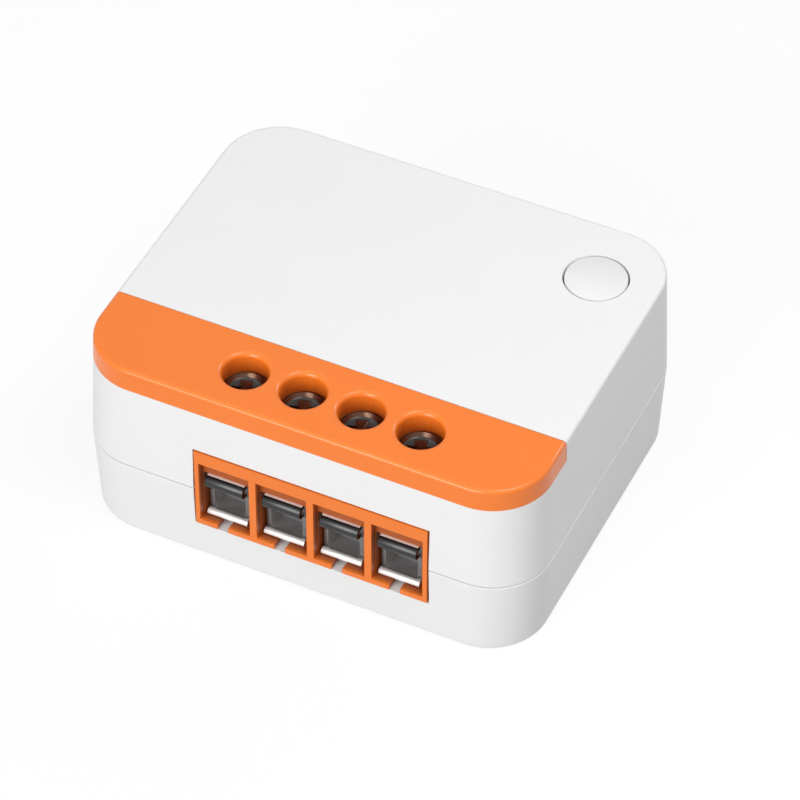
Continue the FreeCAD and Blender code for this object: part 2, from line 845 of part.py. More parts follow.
def component_leads():
    """Leads of the capacitor, inductor, varistor and resistor, below their bodies."""
    leads = []
    nearest = varistor_radius / 2 - lead_width / 2
    varistor_seat = board_top + lead_stand + varistor_radius - (varistor_radius ** 2 - nearest ** 2) ** 0.5
    tops = [board_top] * 4 + [varistor_seat] * 2
    for (x, y), top in zip(lead_places()[:6], tops):
        leads.append(square_pin(x, y, lead_width, board_bottom - pin_below_board, top))
    x, y = resistor_place()
    half = lead_width / 2
    z = board_top + resistor_radius
    for (lead_x, lead_y), side in zip(lead_places()[6:], (1, -1)):
        leg = square_pin(lead_x, lead_y, lead_width, board_bottom - pin_below_board, z + half)
        arm_low, arm_high = sorted((lead_y, y - side * resistor_length / 2))
        arm = box(x - half, x + half, arm_low, arm_high, z - half, z + half)
        leads.append(leg.fuse(arm).removeSplitter())
    return Part.makeCompound(leads)


def low_parts_x():
    return (radio_left + radio_right) / 2


def small_capacitor_y():
    return radio_front + part_gap + small_capacitor_radius


def small_capacitor():
    return upright(low_parts_x(), small_capacitor_y(), small_capacitor_radius,
                   board_top, board_top + small_capacitor_height)


def legged_chip(x, y, width, depth):
    """Flat chip package with a row of legs along each long side."""
    body = box(x - width / 2, x + width / 2, y - depth / 2, y + depth / 2,
               board_top + chip_stand, board_top + chip_height)
    reach = depth / 2 + chip_leg_reach
    legs = []
    for index in range(chip_leg_count):
        leg_x = x + width * ((index + 0.5) / chip_leg_count - 0.5)
        legs.append(box(leg_x - chip_leg_width / 2, leg_x + chip_leg_width / 2, y - reach, y + reach,
                        board_top, board_top + chip_leg_height))
    return body.fuse(legs).removeSplitter()


def converter_chip():
    y = small_capacitor_y() + small_capacitor_radius + 2 * part_gap + chip_depth / 2
    return legged_chip(low_parts_x(), y, chip_width, chip_depth)


def rectifier():
    y = small_capacitor_y() + small_capacitor_radius + 4 * part_gap + chip_depth + rectifier_depth / 2
    return legged_chip(low_parts_x(), y, rectifier_width, rectifier_depth)


def nodes():
    shapes = {
        "upper_case": upper_case(),
        "lower_case": lower_case(),
        "front_strip": front_strip(),
        "terminal_block": terminal_block(),
        "button_cap": button_cap(),
        "tact_switch_body": tact_body(),
        "tact_switch_cover": tact_plate_cover(),
        "tact_switch_plunger": tact_plunger(),
        "main_board": main_board(),
        "radio_board": radio_board(),
        "radio_shield": radio_shield(),
        "header_spacers": header_spacers(),
        "header_pins": header_pins(),
        "relay_cover": relay_cover(),
        "relay_base": relay_base(),
        "relay_pins": relay_pins(),
        "bulk_capacitor": bulk_capacitor(),
        "small_capacitor": small_capacitor(),
        "supply_inductor": inductor(),
        "surge_varistor": varistor(),
        "fuse_resistor": fuse_resistor(),
        "component_leads": component_leads(),
        "converter_chip": converter_chip(),
        "bridge_rectifier": rectifier(),
    }
    for terminal in range(terminal_count):
        number = terminal + 1
        shapes[f"clamp_cage_{number}"] = clamp_cage(terminal)
        shapes[f"contact_bar_{number}"] = contact_bar(terminal)
        shapes[f"clamp_screw_{number}"] = clamp_screw(terminal)
    return shapes


os.makedirs("parts", exist_ok=True)
for name, shape in nodes().items():
    shape.exportStep(f"parts/{name}.step")
    size = shape.BoundBox
    print(name, shape.isValid(), len(shape.Solids), round(shape.Volume, 2),
          f"z {size.ZMin:.2f} to {size.ZMax:.2f}")
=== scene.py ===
from math import cos, pi, radians, sin, tan

import bmesh
import bpy
from mathutils import Euler, Matrix, Vector


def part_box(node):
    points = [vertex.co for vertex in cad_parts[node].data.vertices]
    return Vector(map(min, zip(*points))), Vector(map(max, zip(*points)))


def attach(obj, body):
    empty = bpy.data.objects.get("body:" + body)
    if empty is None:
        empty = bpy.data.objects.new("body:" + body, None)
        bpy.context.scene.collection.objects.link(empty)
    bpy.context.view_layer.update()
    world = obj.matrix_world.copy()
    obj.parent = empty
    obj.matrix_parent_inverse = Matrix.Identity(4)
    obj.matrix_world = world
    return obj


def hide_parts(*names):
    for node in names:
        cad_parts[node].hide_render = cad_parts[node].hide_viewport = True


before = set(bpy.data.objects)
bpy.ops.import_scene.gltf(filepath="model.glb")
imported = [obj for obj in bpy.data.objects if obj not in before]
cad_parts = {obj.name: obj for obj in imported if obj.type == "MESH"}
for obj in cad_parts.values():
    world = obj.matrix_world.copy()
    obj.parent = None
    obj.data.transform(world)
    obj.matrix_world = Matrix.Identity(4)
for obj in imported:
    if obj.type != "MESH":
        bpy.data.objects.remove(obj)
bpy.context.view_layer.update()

# Smart relay switch: the finish of every surface, and finely edged pieces over the CAD nodes
# that show. Lengths are in millimetres unless a comment says otherwise. Pieces are modelled in
# millimetres and brought to metres when they are handed over to their bodies.

MM = 0.001

# Modelling
BEYOND = 1.0                 # how far a cutting tool reaches past what it cuts
OVERLAP = 0.1                # how far shapes that belong together reach into each other
ROOT = 0.3                   # how far a joined shape reaches into what it stands on
DEEP_ROOT = 0.5
SKIN = 0.01                  # how far a hidden shape stays inside the faces round it
SAME = 0.01                  # places closer than this count as one
WELD = 0.0005                # vertices closer than this are merged
FACING = 0.9                 # least part of a face's normal along the way that it looks
SMOOTH_ANGLE = radians(32)   # flatter edges are shaded smooth
HARD_ANGLE = radians(35)     # steeper edges are softened
TURN_STEPS = 64

# Case
CORNER = 5.0
CORNER_STEPS = 24
INNER_CORNER_STEPS = 12
DRAFT = radians(2.0)
EDGE = 0.35                  # rounding of the top and bottom edges
EDGE_STEPS = 8
PARTING = 7.44
PARTING_GAP = 0.1
PARTING_ROUND = 0.08
PARTING_STEPS = 3
TOP_WALL = 1.2
SIDE_WALL = 1.5
FLOOR_THICKNESS = 1.2
RIM = 0.6                    # thickness of the tongue on the lower shell
TONGUE_HEIGHT = 1.3
TONGUE_GAP = 0.1
CATCH_SETBACK = 8.6
CATCH_WIDTH = 4.0
CATCH_HEIGHT = 0.7
CATCH_DEPTH = 0.3
RIB_WIDTH = 0.6
RIB_THICKNESS = 1.2
RIB_Y = 5.53
RIB_GAP = 0.1                # between a rib and the main board
RIB_JOINT = 0.2              # height that the two parts of a rib share
RIB_IN_WALL = 0.4
POST = 2.2
POST_INSET = 1.6
WINDOW_SIDE_GAP = 0.06       # between the window and the terminal frame in it
WINDOW_LOW_GAP = 0.05
WINDOW_TOP_GAP = 0.12
CASE_SOFT = 0.04             # softening of the case's hard edges; the other SOFT values are alike

# Strip with the screwdriver holes
STRIP_THICKNESS = 2.0
STRIP_GAP = 0.05
STRIP_SOFT = 0.03
TAB_THICKNESS = 1.0
TAB_WIDTH = 2.6
TAB_INSET = 4.2
HOLE_RADIUS = 1.84
HOLE_RIM = 0.46
HOLE_RIM_STEPS = 6
HOLE_BACK = 0.25             # the holes sit a little behind the screws, and to their left
HOLE_LEFT = 0.1
HEAD_ROOM = 0.16             # room round a screw head under the strip
HEAD_ROOM_BACK = 0.1
HEAD_ROOM_TOP = 0.06
RIDGE_RADIUS = 2.25
RIDGE_GAP = 0.1
RIDGE_STEPS = 20
RIDGE_FLAT = 0.001           # what the round ends of the ridge leave of its flat ends
RIDGE_WELD = 0.004

# Terminals
PITCH = 5.0
TERMINALS = 4
MOUTH_WIDTH = 4.4
MOUTH_HEIGHT = 6.3
MOUTH_DEPTH = 0.75
RAIL = 0.6
RAIL_TOP = 1.18
FRAME_INSET = 0.08           # the frame is this much narrower than its place, so its gaps show
FRAME_LIFT = 0.1
SHOULDER = 0.6
BLOCK_TOP_GAP = 0.1
BLOCK_FRONT_GAP = 0.15
BLOCK_SOFT = 0.035
PEG = 1.1
THROAT_DEPTH = 1.3           # the wall over the roll ends here, behind the front
THROAT_HEIGHT = 4.77
METAL_OFFSET = -0.2          # from a screw to the middle of its cage and bar
CHAMBER_GAP = 0.25
CHAMBER_BACK_GAP = 0.2
CHAMBER_DROP = 0.08          # the floor behind a mouth is this much lower than the mouth's
CHAMBER_TRIM = 0.07          # taken off the left side of a chamber
NUT_GAP = 0.2
NUT_ROOM = 2.45              # room over a cage for its lift
NOTCH_WIDTH = 0.95
NOTCH_LENGTH = 2.4
SLOT_GAP = 0.06
WELL_FIT = 0.08
WELL_UNDER = 0.05
SHANK_ROOM = 0.12

# Clamp cage
SHEET = 0.38
SHEET_SETBACK = 0.6          # the folded sheet starts this far behind the lip's front
BEND = 0.55
BEND_STEPS = 6
INNER_BEND_STEPS = 4
SHOULDER_HEIGHT = 2.75
NUT_THICKNESS = 0.8
NUT_LENGTH = 4.4
PAD_HEIGHT = 0.5
PAD_LENGTH = 3.0
PAD_SLOPE = 0.9
PAD_GAP = 0.15
LIP_DEPTH = 0.42
LIP_HEIGHT = 0.46
LIP_ROUND = 0.28
LIP_STEPS = 6
LIP_UNDER_ROUND = 0.1
LIP_UNDER_STEPS = 3
THREAD_FIT = 0.06
THREAD_HOLE_STEPS = 48
CAGE_SOFT = 0.05

# Contact bar
CLAMP_SPACE = 3.16           # from the floor of a lowered cage to the bar
BAR_GAP = 0.25
BAR_BEND = 0.3
BAR_BEND_STEPS = 8
WIDENING_SETBACK = 0.3       # behind the axis of the roll
WIDENING_LENGTH = 0.1
ROLL_RADIUS = 0.62
ROLL_LEFT = 1.48
ROLL_RIGHT = 1.78
ROLL_SETBACK = 0.63
ROLL_OPENING = radians(50)
ROLL_STEPS = 28
PIN = 1.0
PIN_INSET = 0.02
PIN_ROOT = 0.2
BAR_SOFT = 0.04

# Clamp screw
SCREW_RADIUS = 1.1
TIP_INSET = 0.08
TIP_HEIGHT = 0.1
HEAD_HEIGHT = 1.5
HEAD_ROUND = 0.06
HEAD_RING = ((0, 0.1), (0.04, 0.03), (0.09, 0), (0.14, 0), (0.18, 0.04), (0.32, 0.32),
             (0.40, 0.37))   # in from the side of the head, and down from its top
DISH_DEPTH = 0.44
THREAD_PITCH = 0.45
THREAD_DEPTH = 0.22
THREAD_ROOT = 0.06
THREAD_START = 0.12
THREAD_CREST = (0.14, 0.2)
THREAD_WIDTH = 0.34
THREAD_STEPS = 24
RECESS_LENGTH = 2.9
RECESS_WIDTH = 1.25
RECESS_DEPTH = 1.1
RECESS_TAPER = (0.5, 0.35, 1)
RECESS_TURNS = (radians(20), radians(110))
SCREW_SOFT = 0.02
SCREW_HARD_ANGLE = radians(40)

# Button
BUTTON_RADIUS = 2.55
BUTTON_GAP = 0.15
BUTTON_RISE = 0.25
BUTTON_STEPS = 96
BUTTON_EDGE = 0.12
BUTTON_EDGE_STEPS = 4
CROWN = 0.27
CROWN_STEPS = 12
STEM_RADIUS = 1.2
FLANGE_GAP = 0.15
FLANGE_THICKNESS = 0.7

# Studio, in metres and watts; a lamp has a name, a place, a diameter and a power
FLOOR_SIZE = 3.0
FLOOR_LIFT = 0.85            # share of the floor that shows plain white, to keep its shadow faint
FLOOR_BOUNCE = 0.30          # tone of the paper in the light that it throws back at the object
SKY_LIGHT = 0.34
LAMPS = (("front", (-0.08, -0.54, 0.216), 0.38, 2.48),
         ("above", (0.085, -0.03, 0.20), 0.12, 0.175),
         ("above_left", (-0.075, 0.0075, 0.24), 0.12, 0.035),
         ("behind_right", (0.164, 0.323, 0.214), 0.12, 0.32))
CAMERA_PLACE = (0.1037, -0.2166, 0.2478)
CAMERA_AIM = (-0.3009, 0.6382, -0.7087)
CAMERA_ROLL = radians(0.186)
CAMERA_LENS = 190.05         # in millimetres, like the sensor
CAMERA_SENSOR = 36
CAMERA_CLIP = (0.01, 10)


# Modelling helpers

def box_mm(node):
    low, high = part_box(node)
    return low / MM, high / MM


def focus(piece):
    bpy.ops.object.select_all(action="DESELECT")
    piece.select_set(True)
    bpy.context.view_layer.objects.active = piece


def keep_place(name):
    """Names the new primitive and puts its size and place into its mesh."""
    piece = bpy.context.object
    piece.name = name
    piece.data.name = name
    focus(piece)
    bpy.ops.object.transform_apply(location=True, rotation=True, scale=True)
    return piece


def block(name, low, high):
    bpy.ops.object.select_all(action="DESELECT")
    bpy.ops.mesh.primitive_cube_add(size=1, location=[(a + b) / 2 for a, b in zip(low, high)],
                                    scale=[b - a for a, b in zip(low, high)])
    return keep_place(name)


def rod(name, x, y, radius, low, high, steps=TURN_STEPS):
    bpy.ops.object.select_all(action="DESELECT")
    bpy.ops.mesh.primitive_cylinder_add(vertices=steps, radius=radius, depth=high - low,
                                        location=(x, y, (low + high) / 2))
    return keep_place(name)


def drawn(name, points, shape="line"):
    """New piece that is only a line, a loop or a face through some points."""
    bpy.ops.object.select_all(action="DESELECT")
    bpy.ops.mesh.primitive_plane_add(size=1, location=(0, 0, 0))
    piece = keep_place(name)
    mesh = bmesh.new()
    ring = [mesh.verts.new(point) for point in points]
    if shape == "face":
        mesh.faces.new(ring)
    else:
        for first, second in zip(ring, ring[1:] + (ring[:1] if shape == "loop" else [])):
            mesh.edges.new((first, second))
    mesh.to_mesh(piece.data)
    mesh.free()
    return piece


def edit(piece, kind, chosen, operator, **settings):
    """Selects what a test picks in edit mode and runs one operator on it."""
    focus(piece)
    bpy.ops.object.mode_set(mode="EDIT")
    bpy.ops.mesh.select_mode(type=kind)
    bpy.ops.mesh.select_all(action="DESELECT")
    mesh = bmesh.from_edit_mesh(piece.data)
    for part in {"VERT": mesh.verts, "EDGE": mesh.edges, "FACE": mesh.faces}[kind]:
        if chosen(part):
            part.select_set(True)
    mesh.select_flush_mode()
    bmesh.update_edit_mesh(piece.data)
    operator(**settings)
    bpy.ops.object.mode_set(mode="OBJECT")


def everything(part):
    return True


def upright_edge(edge):
    first, second = (vertex.co for vertex in edge.verts)
    return abs(first.x - second.x) < SAME and abs(first.y - second.y) < SAME


def edge_along_y(edge):
    first, second = (vertex.co for vertex in edge.verts)
    return abs(first.x - second.x) < SAME and abs(first.z - second.z) < SAME


def edges_at_height(z):
    return lambda edge: all(abs(vertex.co.z - z) < SAME for vertex in edge.verts)


def edges_along_x(y, z):
    return lambda edge: all(abs(vertex.co.y - y) < SAME and abs(vertex.co.z - z) < SAME
                            for vertex in edge.verts)


def face_up(face):
    return face.normal.z > FACING


def face_down(face):
    return face.normal.z < -FACING


def front_faces(y):
    """Test for the faces that look forward at a place or in front of it."""
    return lambda face: face.normal.y < -FACING and face.calc_center_median().y < y + SAME


def extrude(value):
    """Draws the chosen faces out along a vector."""
    bpy.ops.mesh.extrude_region_move(TRANSFORM_OT_translate={"value": value})


def round_edges(piece, chosen, radius, steps):
    edit(piece, "EDGE", chosen, bpy.ops.mesh.bevel, offset=radius, segments=steps, affect="EDGES")


def face_outward(piece):
    edit(piece, "FACE", everything, bpy.ops.mesh.normals_make_consistent, inside=False)


def turned(name, x, y, profile, steps=TURN_STEPS):
    """Turns a profile of (radius, height) about the upright axis through (x, y)."""
    piece = drawn(name, [(x + radius, y, height) for radius, height in profile])
    edit(piece, "VERT", everything, bpy.ops.mesh.spin, steps=steps, angle=2 * pi,
         center=(x, y, 0), axis=(0, 0, 1))
    edit(piece, "VERT", everything, bpy.ops.mesh.remove_doubles, threshold=WELD)
    face_outward(piece)
    return piece


def side_profile(name, points, x_low, x_high):
    """Block drawn along X from an outline of (y, z) points."""
    piece = drawn(name, [(x_low, y, z) for y, z in points], "face")
    edit(piece, "FACE", everything, extrude, value=(x_high - x_low, 0, 0))
    face_outward(piece)
    return piece


def quarter_turn(steps):
    return [pi / 2 * step / steps for step in range(steps + 1)]


def modify(piece, kind, **settings):
    focus(piece)
    modifier = piece.modifiers.new(kind.lower(), kind)
    for name, value in settings.items():
        setattr(modifier, name, value)
    bpy.ops.object.modifier_apply(modifier=modifier.name)


def combine(piece, tools, operation="DIFFERENCE"):
    """Cuts the tools out of a piece, joins them to it or keeps what they share."""
    for tool in tools if isinstance(tools, list) else [tools]:
        modify(piece, "BOOLEAN", object=tool, operation=operation, solver="EXACT")
        bpy.data.objects.remove(tool)


def soften(piece, width, angle=HARD_ANGLE):
    """Takes the sharpness off every hard edge."""
    modify(piece, "BEVEL", width=width, segments=2, limit_method="ANGLE", angle_limit=angle,
           use_clamp_overlap=True, harden_normals=False)


def copies(piece, names):
    """The piece itself and a copy for each further terminal, each with its own mesh."""
    row = [piece]
    for index, name in enumerate(names[1:], start=1):
        twin = piece.copy()
        twin.data = piece.data.copy()
        twin.name = name
        twin.data.name = name
        bpy.context.scene.collection.objects.link(twin)
        twin.data.transform(Matrix.Translation((PITCH * index, 0, 0)))
        row.append(twin)
    piece.name = names[0]
    piece.data.name = names[0]
    return row


def hand_over(piece, material, body, slot, *nodes):
    """Brings a finished piece to metres, smooths its shading and joins it to its body."""
    focus(piece)
    piece.scale = (MM, MM, MM)
    bpy.ops.object.transform_apply(location=True, rotation=True, scale=True)
    bpy.ops.object.shade_smooth_by_angle(angle=SMOOTH_ANGLE)
    modify(piece, "WEIGHTED_NORMAL", keep_sharp=True, weight=100)
    piece.data.materials.clear()
    piece.data.materials.append(material)
    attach(piece, body)
    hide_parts(*nodes)


# Places read from the frame

HALF_X, HALF_Y, _ = box_mm("lower_case")[1]
TOP = box_mm("upper_case")[1].z
STRIP_LOW, STRIP_HIGH = box_mm("front_strip")
BOARD_LOW, BOARD_HIGH = box_mm("main_board")
BLOCK_LOW, BLOCK_HIGH = box_mm("terminal_block")
CAGE_LOW, CAGE_HIGH = box_mm("clamp_cage_1")
BAR_LOW, BAR_HIGH = box_mm("contact_bar_1")
SCREW_LOW, SCREW_HIGH = box_mm("clamp_screw_1")
BUTTON_LOW, BUTTON_HIGH = box_mm("button_cap")

FRONT = -HALF_Y
STRIP_BACK = STRIP_HIGH.y + STRIP_GAP
STRIP_BOTTOM = TOP - STRIP_THICKNESS
SHELF_BOTTOM = STRIP_BOTTOM - TOP_WALL
CEILING = TOP - TOP_WALL
INNER_INSET = SIDE_WALL + tan(DRAFT) * (CEILING - PARTING)
TONGUE_TOP = PARTING + TONGUE_HEIGHT
BOARD_TOP = BOARD_HIGH.z
POST_TOP = BOARD_LOW.z
FRAME_LEFT = BLOCK_LOW.x + SHOULDER
FRAME_RIGHT = BLOCK_HIGH.x - SHOULDER
FRAME_TOP = BOARD_TOP + RAIL + MOUTH_HEIGHT + RAIL_TOP
BLOCK_TOP = SHELF_BOTTOM - BLOCK_TOP_GAP
BLOCK_FRONT = FRONT + INNER_INSET + BLOCK_FRONT_GAP
CHAMBER_FLOOR = BOARD_TOP + RAIL
SCREW_X = (SCREW_LOW.x + SCREW_HIGH.x) / 2
SCREW_Y = (SCREW_LOW.y + SCREW_HIGH.y) / 2
HEAD_RADIUS = (SCREW_HIGH.x - SCREW_LOW.x) / 2
HEAD_TOP = SCREW_HIGH.z
HEAD_BOTTOM = HEAD_TOP - HEAD_HEIGHT
METAL_X = SCREW_X + METAL_OFFSET
CAGE_HALF = (CAGE_HIGH.x - CAGE_LOW.x) / 2
BAR_HALF = CAGE_HALF - SHEET - BAR_GAP
BAR_BOTTOM = CAGE_LOW.z + SHEET + CLAMP_SPACE
ROLL_Y = FRONT + ROLL_SETBACK
BUTTON_X = (BUTTON_LOW.x + BUTTON_HIGH.x) / 2
BUTTON_Y = (BUTTON_LOW.y + BUTTON_HIGH.y) / 2
SCREW_PLACES = [SCREW_X + PITCH * index for index in range(TERMINALS)]


# Case shells and strip

def case_block(name, z_parting, z_face):
    """Outside of one shell: rounded corners, tapered walls and a rounded edge at the flat face."""
    piece = block(name, (-HALF_X, -HALF_Y, min(z_parting, z_face)),
                  (HALF_X, HALF_Y, max(z_parting, z_face)))
    round_edges(piece, upright_edge, CORNER, CORNER_STEPS)
    shrink = tan(DRAFT) * abs(z_face - z_parting)
    for side_x in (-1, 1):
        for side_y in (-1, 1):
            edit(piece, "VERT",
                 lambda vertex: (abs(vertex.co.z - z_face) < SAME and vertex.co.x * side_x > 0
                                 and vertex.co.y * side_y > 0),
                 bpy.ops.transform.translate, value=(-side_x * shrink, -side_y * shrink, 0))
    round_edges(piece, edges_at_height(z_face), EDGE, EDGE_STEPS)
    round_edges(piece, edges_at_height(z_parting), PARTING_ROUND, PARTING_STEPS)
    return piece


def inner_block(name, grow, low, high):
    """Block inside the walls, its sides moved outward by a distance."""
    inset = INNER_INSET - grow
    piece = block(name, (-HALF_X + inset, -HALF_Y + inset, low),
                  (HALF_X - inset, HALF_Y - inset, high))
    round_edges(piece, upright_edge, CORNER - inset, INNER_CORNER_STEPS)
    return piece


def front_slab(name, bottom, back):
    """Block over the front of the case, from a height upward."""
    return block(name, (-HALF_X - BEYOND, -HALF_Y - BEYOND, bottom),
                 (HALF_X + BEYOND, back, TOP + BEYOND))


def window():
    return block("window", (FRAME_LEFT - WINDOW_SIDE_GAP, FRONT - 2 * BEYOND,
                            BOARD_TOP - WINDOW_LOW_GAP),
                 (FRAME_RIGHT + WINDOW_SIDE_GAP, BLOCK_FRONT, FRAME_TOP + WINDOW_TOP_GAP))


def ridge(name, radius, low, high):
    """Long block with round ends, over the row of screws."""
    piece = block(name, (SCREW_PLACES[0] - radius, SCREW_Y - radius, low),
                  (SCREW_PLACES[-1] + radius, SCREW_Y + radius, high))
    round_edges(piece, upright_edge, radius - RIDGE_FLAT, RIDGE_STEPS)
    edit(piece, "VERT", everything, bpy.ops.mesh.remove_doubles, threshold=RIDGE_WELD)
    return piece


def catches(grow):
    """Snap catches on the tongue of the lower shell; grown, they cut their pockets."""
    root = INNER_INSET - RIM / 2
    tip = INNER_INSET - RIM - CATCH_DEPTH - grow
    half = CATCH_WIDTH / 2 + grow
    low = PARTING + TONGUE_HEIGHT / 2 - CATCH_HEIGHT / 2 - grow
    high = PARTING + TONGUE_HEIGHT / 2 + CATCH_HEIGHT / 2 + grow
    tools = []
    for side in (-1, 1):
        first, second = sorted((side * (HALF_X - root), side * (HALF_X - tip)))
        for y in (-CATCH_SETBACK, CATCH_SETBACK):
            tools.append(block("catch", (first, y - half, low), (second, y + half, high)))
        tools.append(block("catch", (side * CATCH_SETBACK - half, HALF_Y - root, low),
                           (side * CATCH_SETBACK + half, HALF_Y - tip, high)))
    return tools


def hold_down_ribs():
    """Ribs of the upper shell that keep the main board on its posts."""
    inner = BOARD_HIGH.x - RIB_WIDTH
    rim_top = TONGUE_TOP + TONGUE_GAP
    ribs = []
    for side in (-1, 1):
        for y in (-RIB_Y, RIB_Y):
            for reach, low, high in (
                    (HALF_X - INNER_INSET - TONGUE_GAP, BOARD_TOP + RIB_GAP, rim_top + RIB_JOINT),
                    (HALF_X - INNER_INSET + RIB_IN_WALL, rim_top, CEILING + ROOT)):
                first, second = sorted((side * inner, side * reach))
                ribs.append(block("rib", (first, y - RIB_THICKNESS / 2, low),
                                  (second, y + RIB_THICKNESS / 2, high)))
    return ribs


def strip_tabs(grow, high):
    """Two tabs under the strip; grown, they cut their slots in the case."""
    across = TAB_THICKNESS / 2 + grow
    along = TAB_WIDTH / 2 + grow
    return [block("tab", (x - across, SCREW_Y - along, STRIP_LOW.z - grow),
                  (x + across, SCREW_Y + along, high))
            for x in (TAB_INSET - HALF_X, HALF_X - TAB_INSET)]


def upper_shell():
    piece = case_block("upper_shell", PARTING + PARTING_GAP / 2, TOP)
    cavity = inner_block("cavity", 0, PARTING - BEYOND, CEILING)
    combine(cavity, front_slab("shelf", SHELF_BOTTOM, STRIP_BACK + TOP_WALL))
    combine(piece, [
        front_slab("step", STRIP_BOTTOM, STRIP_BACK),
        cavity,
        inner_block("rebate", RIM + TONGUE_GAP, PARTING - BEYOND, TONGUE_TOP + TONGUE_GAP),
        window(),
        rod("button_hole", BUTTON_X, BUTTON_Y, BUTTON_RADIUS + BUTTON_GAP, CEILING - BEYOND,
            TOP + BEYOND, BUTTON_STEPS),
        ridge("ridge_hole", RIDGE_RADIUS + RIDGE_GAP, SHELF_BOTTOM - BEYOND,
              STRIP_BOTTOM + BEYOND)])
    combine(piece, catches(TONGUE_GAP) + strip_tabs(STRIP_GAP, STRIP_BOTTOM + BEYOND))
    combine(piece, hold_down_ribs(), "UNION")
    soften(piece, CASE_SOFT)
    return piece


def lower_shell():
    piece = case_block("lower_shell", PARTING - PARTING_GAP / 2, 0)
    combine(piece, inner_block("tongue", RIM, PARTING - BEYOND, TONGUE_TOP), "UNION")
    combine(piece, inner_block("cavity", 0, FLOOR_THICKNESS, PARTING + 2 * BEYOND))
    combine(piece, catches(0), "UNION")
    combine(piece, window())
    post_x = BOARD_HIGH.x - POST_INSET
    post_y = BOARD_HIGH.y - POST_INSET
    combine(piece, [block("post", (x - POST / 2, y - POST / 2, FLOOR_THICKNESS - ROOT),
                          (x + POST / 2, y + POST / 2, POST_TOP))
                    for x in (-post_x, post_x) for y in (-post_y, post_y)], "UNION")
    soften(piece, CASE_SOFT)
    return piece


def hole_tool(x):
    """Screwdriver hole with its rounded rim, turned from a profile."""
    profile = [(0, STRIP_BOTTOM - BEYOND), (HOLE_RADIUS, STRIP_BOTTOM - BEYOND)]
    profile += [(HOLE_RADIUS + HOLE_RIM * (1 - cos(turn)), TOP - HOLE_RIM + HOLE_RIM * sin(turn))
                for turn in quarter_turn(HOLE_RIM_STEPS)]
    profile += [(profile[-1][0], TOP + BEYOND), (0, TOP + BEYOND)]
    return turned("hole_tool", x, SCREW_Y + HOLE_BACK, profile)


def screw_strip():
    piece = case_block("screw_strip", PARTING + PARTING_GAP / 2, TOP)
    combine(piece, front_slab("keep", STRIP_BOTTOM, STRIP_BACK - STRIP_GAP), "INTERSECT")
    combine(piece, [hole_tool(x - HOLE_LEFT) for x in SCREW_PLACES])
    combine(piece, [rod("head_room", x, SCREW_Y + HEAD_ROOM_BACK, HOLE_RADIUS + HEAD_ROOM,
                        STRIP_BOTTOM - BEYOND, HEAD_TOP + HEAD_ROOM_TOP) for x in SCREW_PLACES])
    combine(piece, strip_tabs(0, STRIP_BOTTOM + ROOT), "UNION")
    soften(piece, STRIP_SOFT)
    return piece


# Terminals

def terminal_frame():
    """Terminal block: window frame, body, wells and pegs, with mouths and chambers cut out."""
    mouth_back = FRONT + MOUTH_DEPTH
    mouth_top = CHAMBER_FLOOR + MOUTH_HEIGHT
    throat_back = FRONT + THROAT_DEPTH
    throat_top = CHAMBER_FLOOR + THROAT_HEIGHT
    nut_front = SCREW_Y - NUT_LENGTH / 2 - NUT_GAP
    half = CAGE_HALF + CHAMBER_GAP
    back = CAGE_HIGH.y + CHAMBER_BACK_GAP
    floor = CHAMBER_FLOOR - CHAMBER_DROP
    top = CAGE_HIGH.z + NUT_ROOM
    chamber = [(mouth_back - OVERLAP, floor), (back, floor), (back, top), (nut_front, top),
               (nut_front, mouth_top), (throat_back, mouth_top), (throat_back, throat_top),
               (mouth_back - OVERLAP, throat_top)]
    piece = block("terminal_frame", (FRAME_LEFT + FRAME_INSET, FRONT, BOARD_TOP + FRAME_LIFT),
                  (FRAME_RIGHT - FRAME_INSET, BLOCK_FRONT + DEEP_ROOT, FRAME_TOP))
    combine(piece, [block("body", (BLOCK_LOW.x, BLOCK_FRONT, BOARD_TOP),
                          (BLOCK_HIGH.x, BLOCK_HIGH.y, BLOCK_TOP)),
                    ridge("wells", RIDGE_RADIUS, BLOCK_TOP - DEEP_ROOT, BLOCK_HIGH.z)], "UNION")
    for x in (FRAME_LEFT + PEG / 2, FRAME_RIGHT - PEG / 2):
        combine(piece, block("peg", (x - PEG / 2, SCREW_Y - PEG / 2, BLOCK_LOW.z),
                             (x + PEG / 2, SCREW_Y + PEG / 2, BOARD_TOP + ROOT)), "UNION")
    for x in SCREW_PLACES:
        metal = x + METAL_OFFSET
        combine(piece, [
            block("mouth", (x - MOUTH_WIDTH / 2, FRONT - BEYOND, CHAMBER_FLOOR),
                  (x + MOUTH_WIDTH / 2, mouth_back, mouth_top)),
            side_profile("chamber", chamber, metal - half + CHAMBER_TRIM, metal + half),
            block("notch", (metal - NOTCH_WIDTH / 2, FRONT - BEYOND, BOARD_TOP - BEYOND),
                  (metal + NOTCH_WIDTH / 2, FRONT + NOTCH_LENGTH, CHAMBER_FLOOR + OVERLAP)),
            block("bar_slot", (metal - BAR_HALF - SLOT_GAP, back - OVERLAP, BAR_BOTTOM - SLOT_GAP),
                  (metal + BAR_HALF + SLOT_GAP, BLOCK_HIGH.y + BEYOND,
                   BAR_BOTTOM + SHEET + SLOT_GAP)),
            rod("well", x, SCREW_Y, HEAD_RADIUS + WELL_FIT, HEAD_BOTTOM - WELL_UNDER,
                HEAD_TOP + BEYOND),
            rod("shank_hole", x, SCREW_Y, SCREW_RADIUS + SHANK_ROOM, CAGE_HIGH.z + 2 * BEYOND,
                HEAD_BOTTOM)])
    soften(piece, BLOCK_SOFT)
    return piece


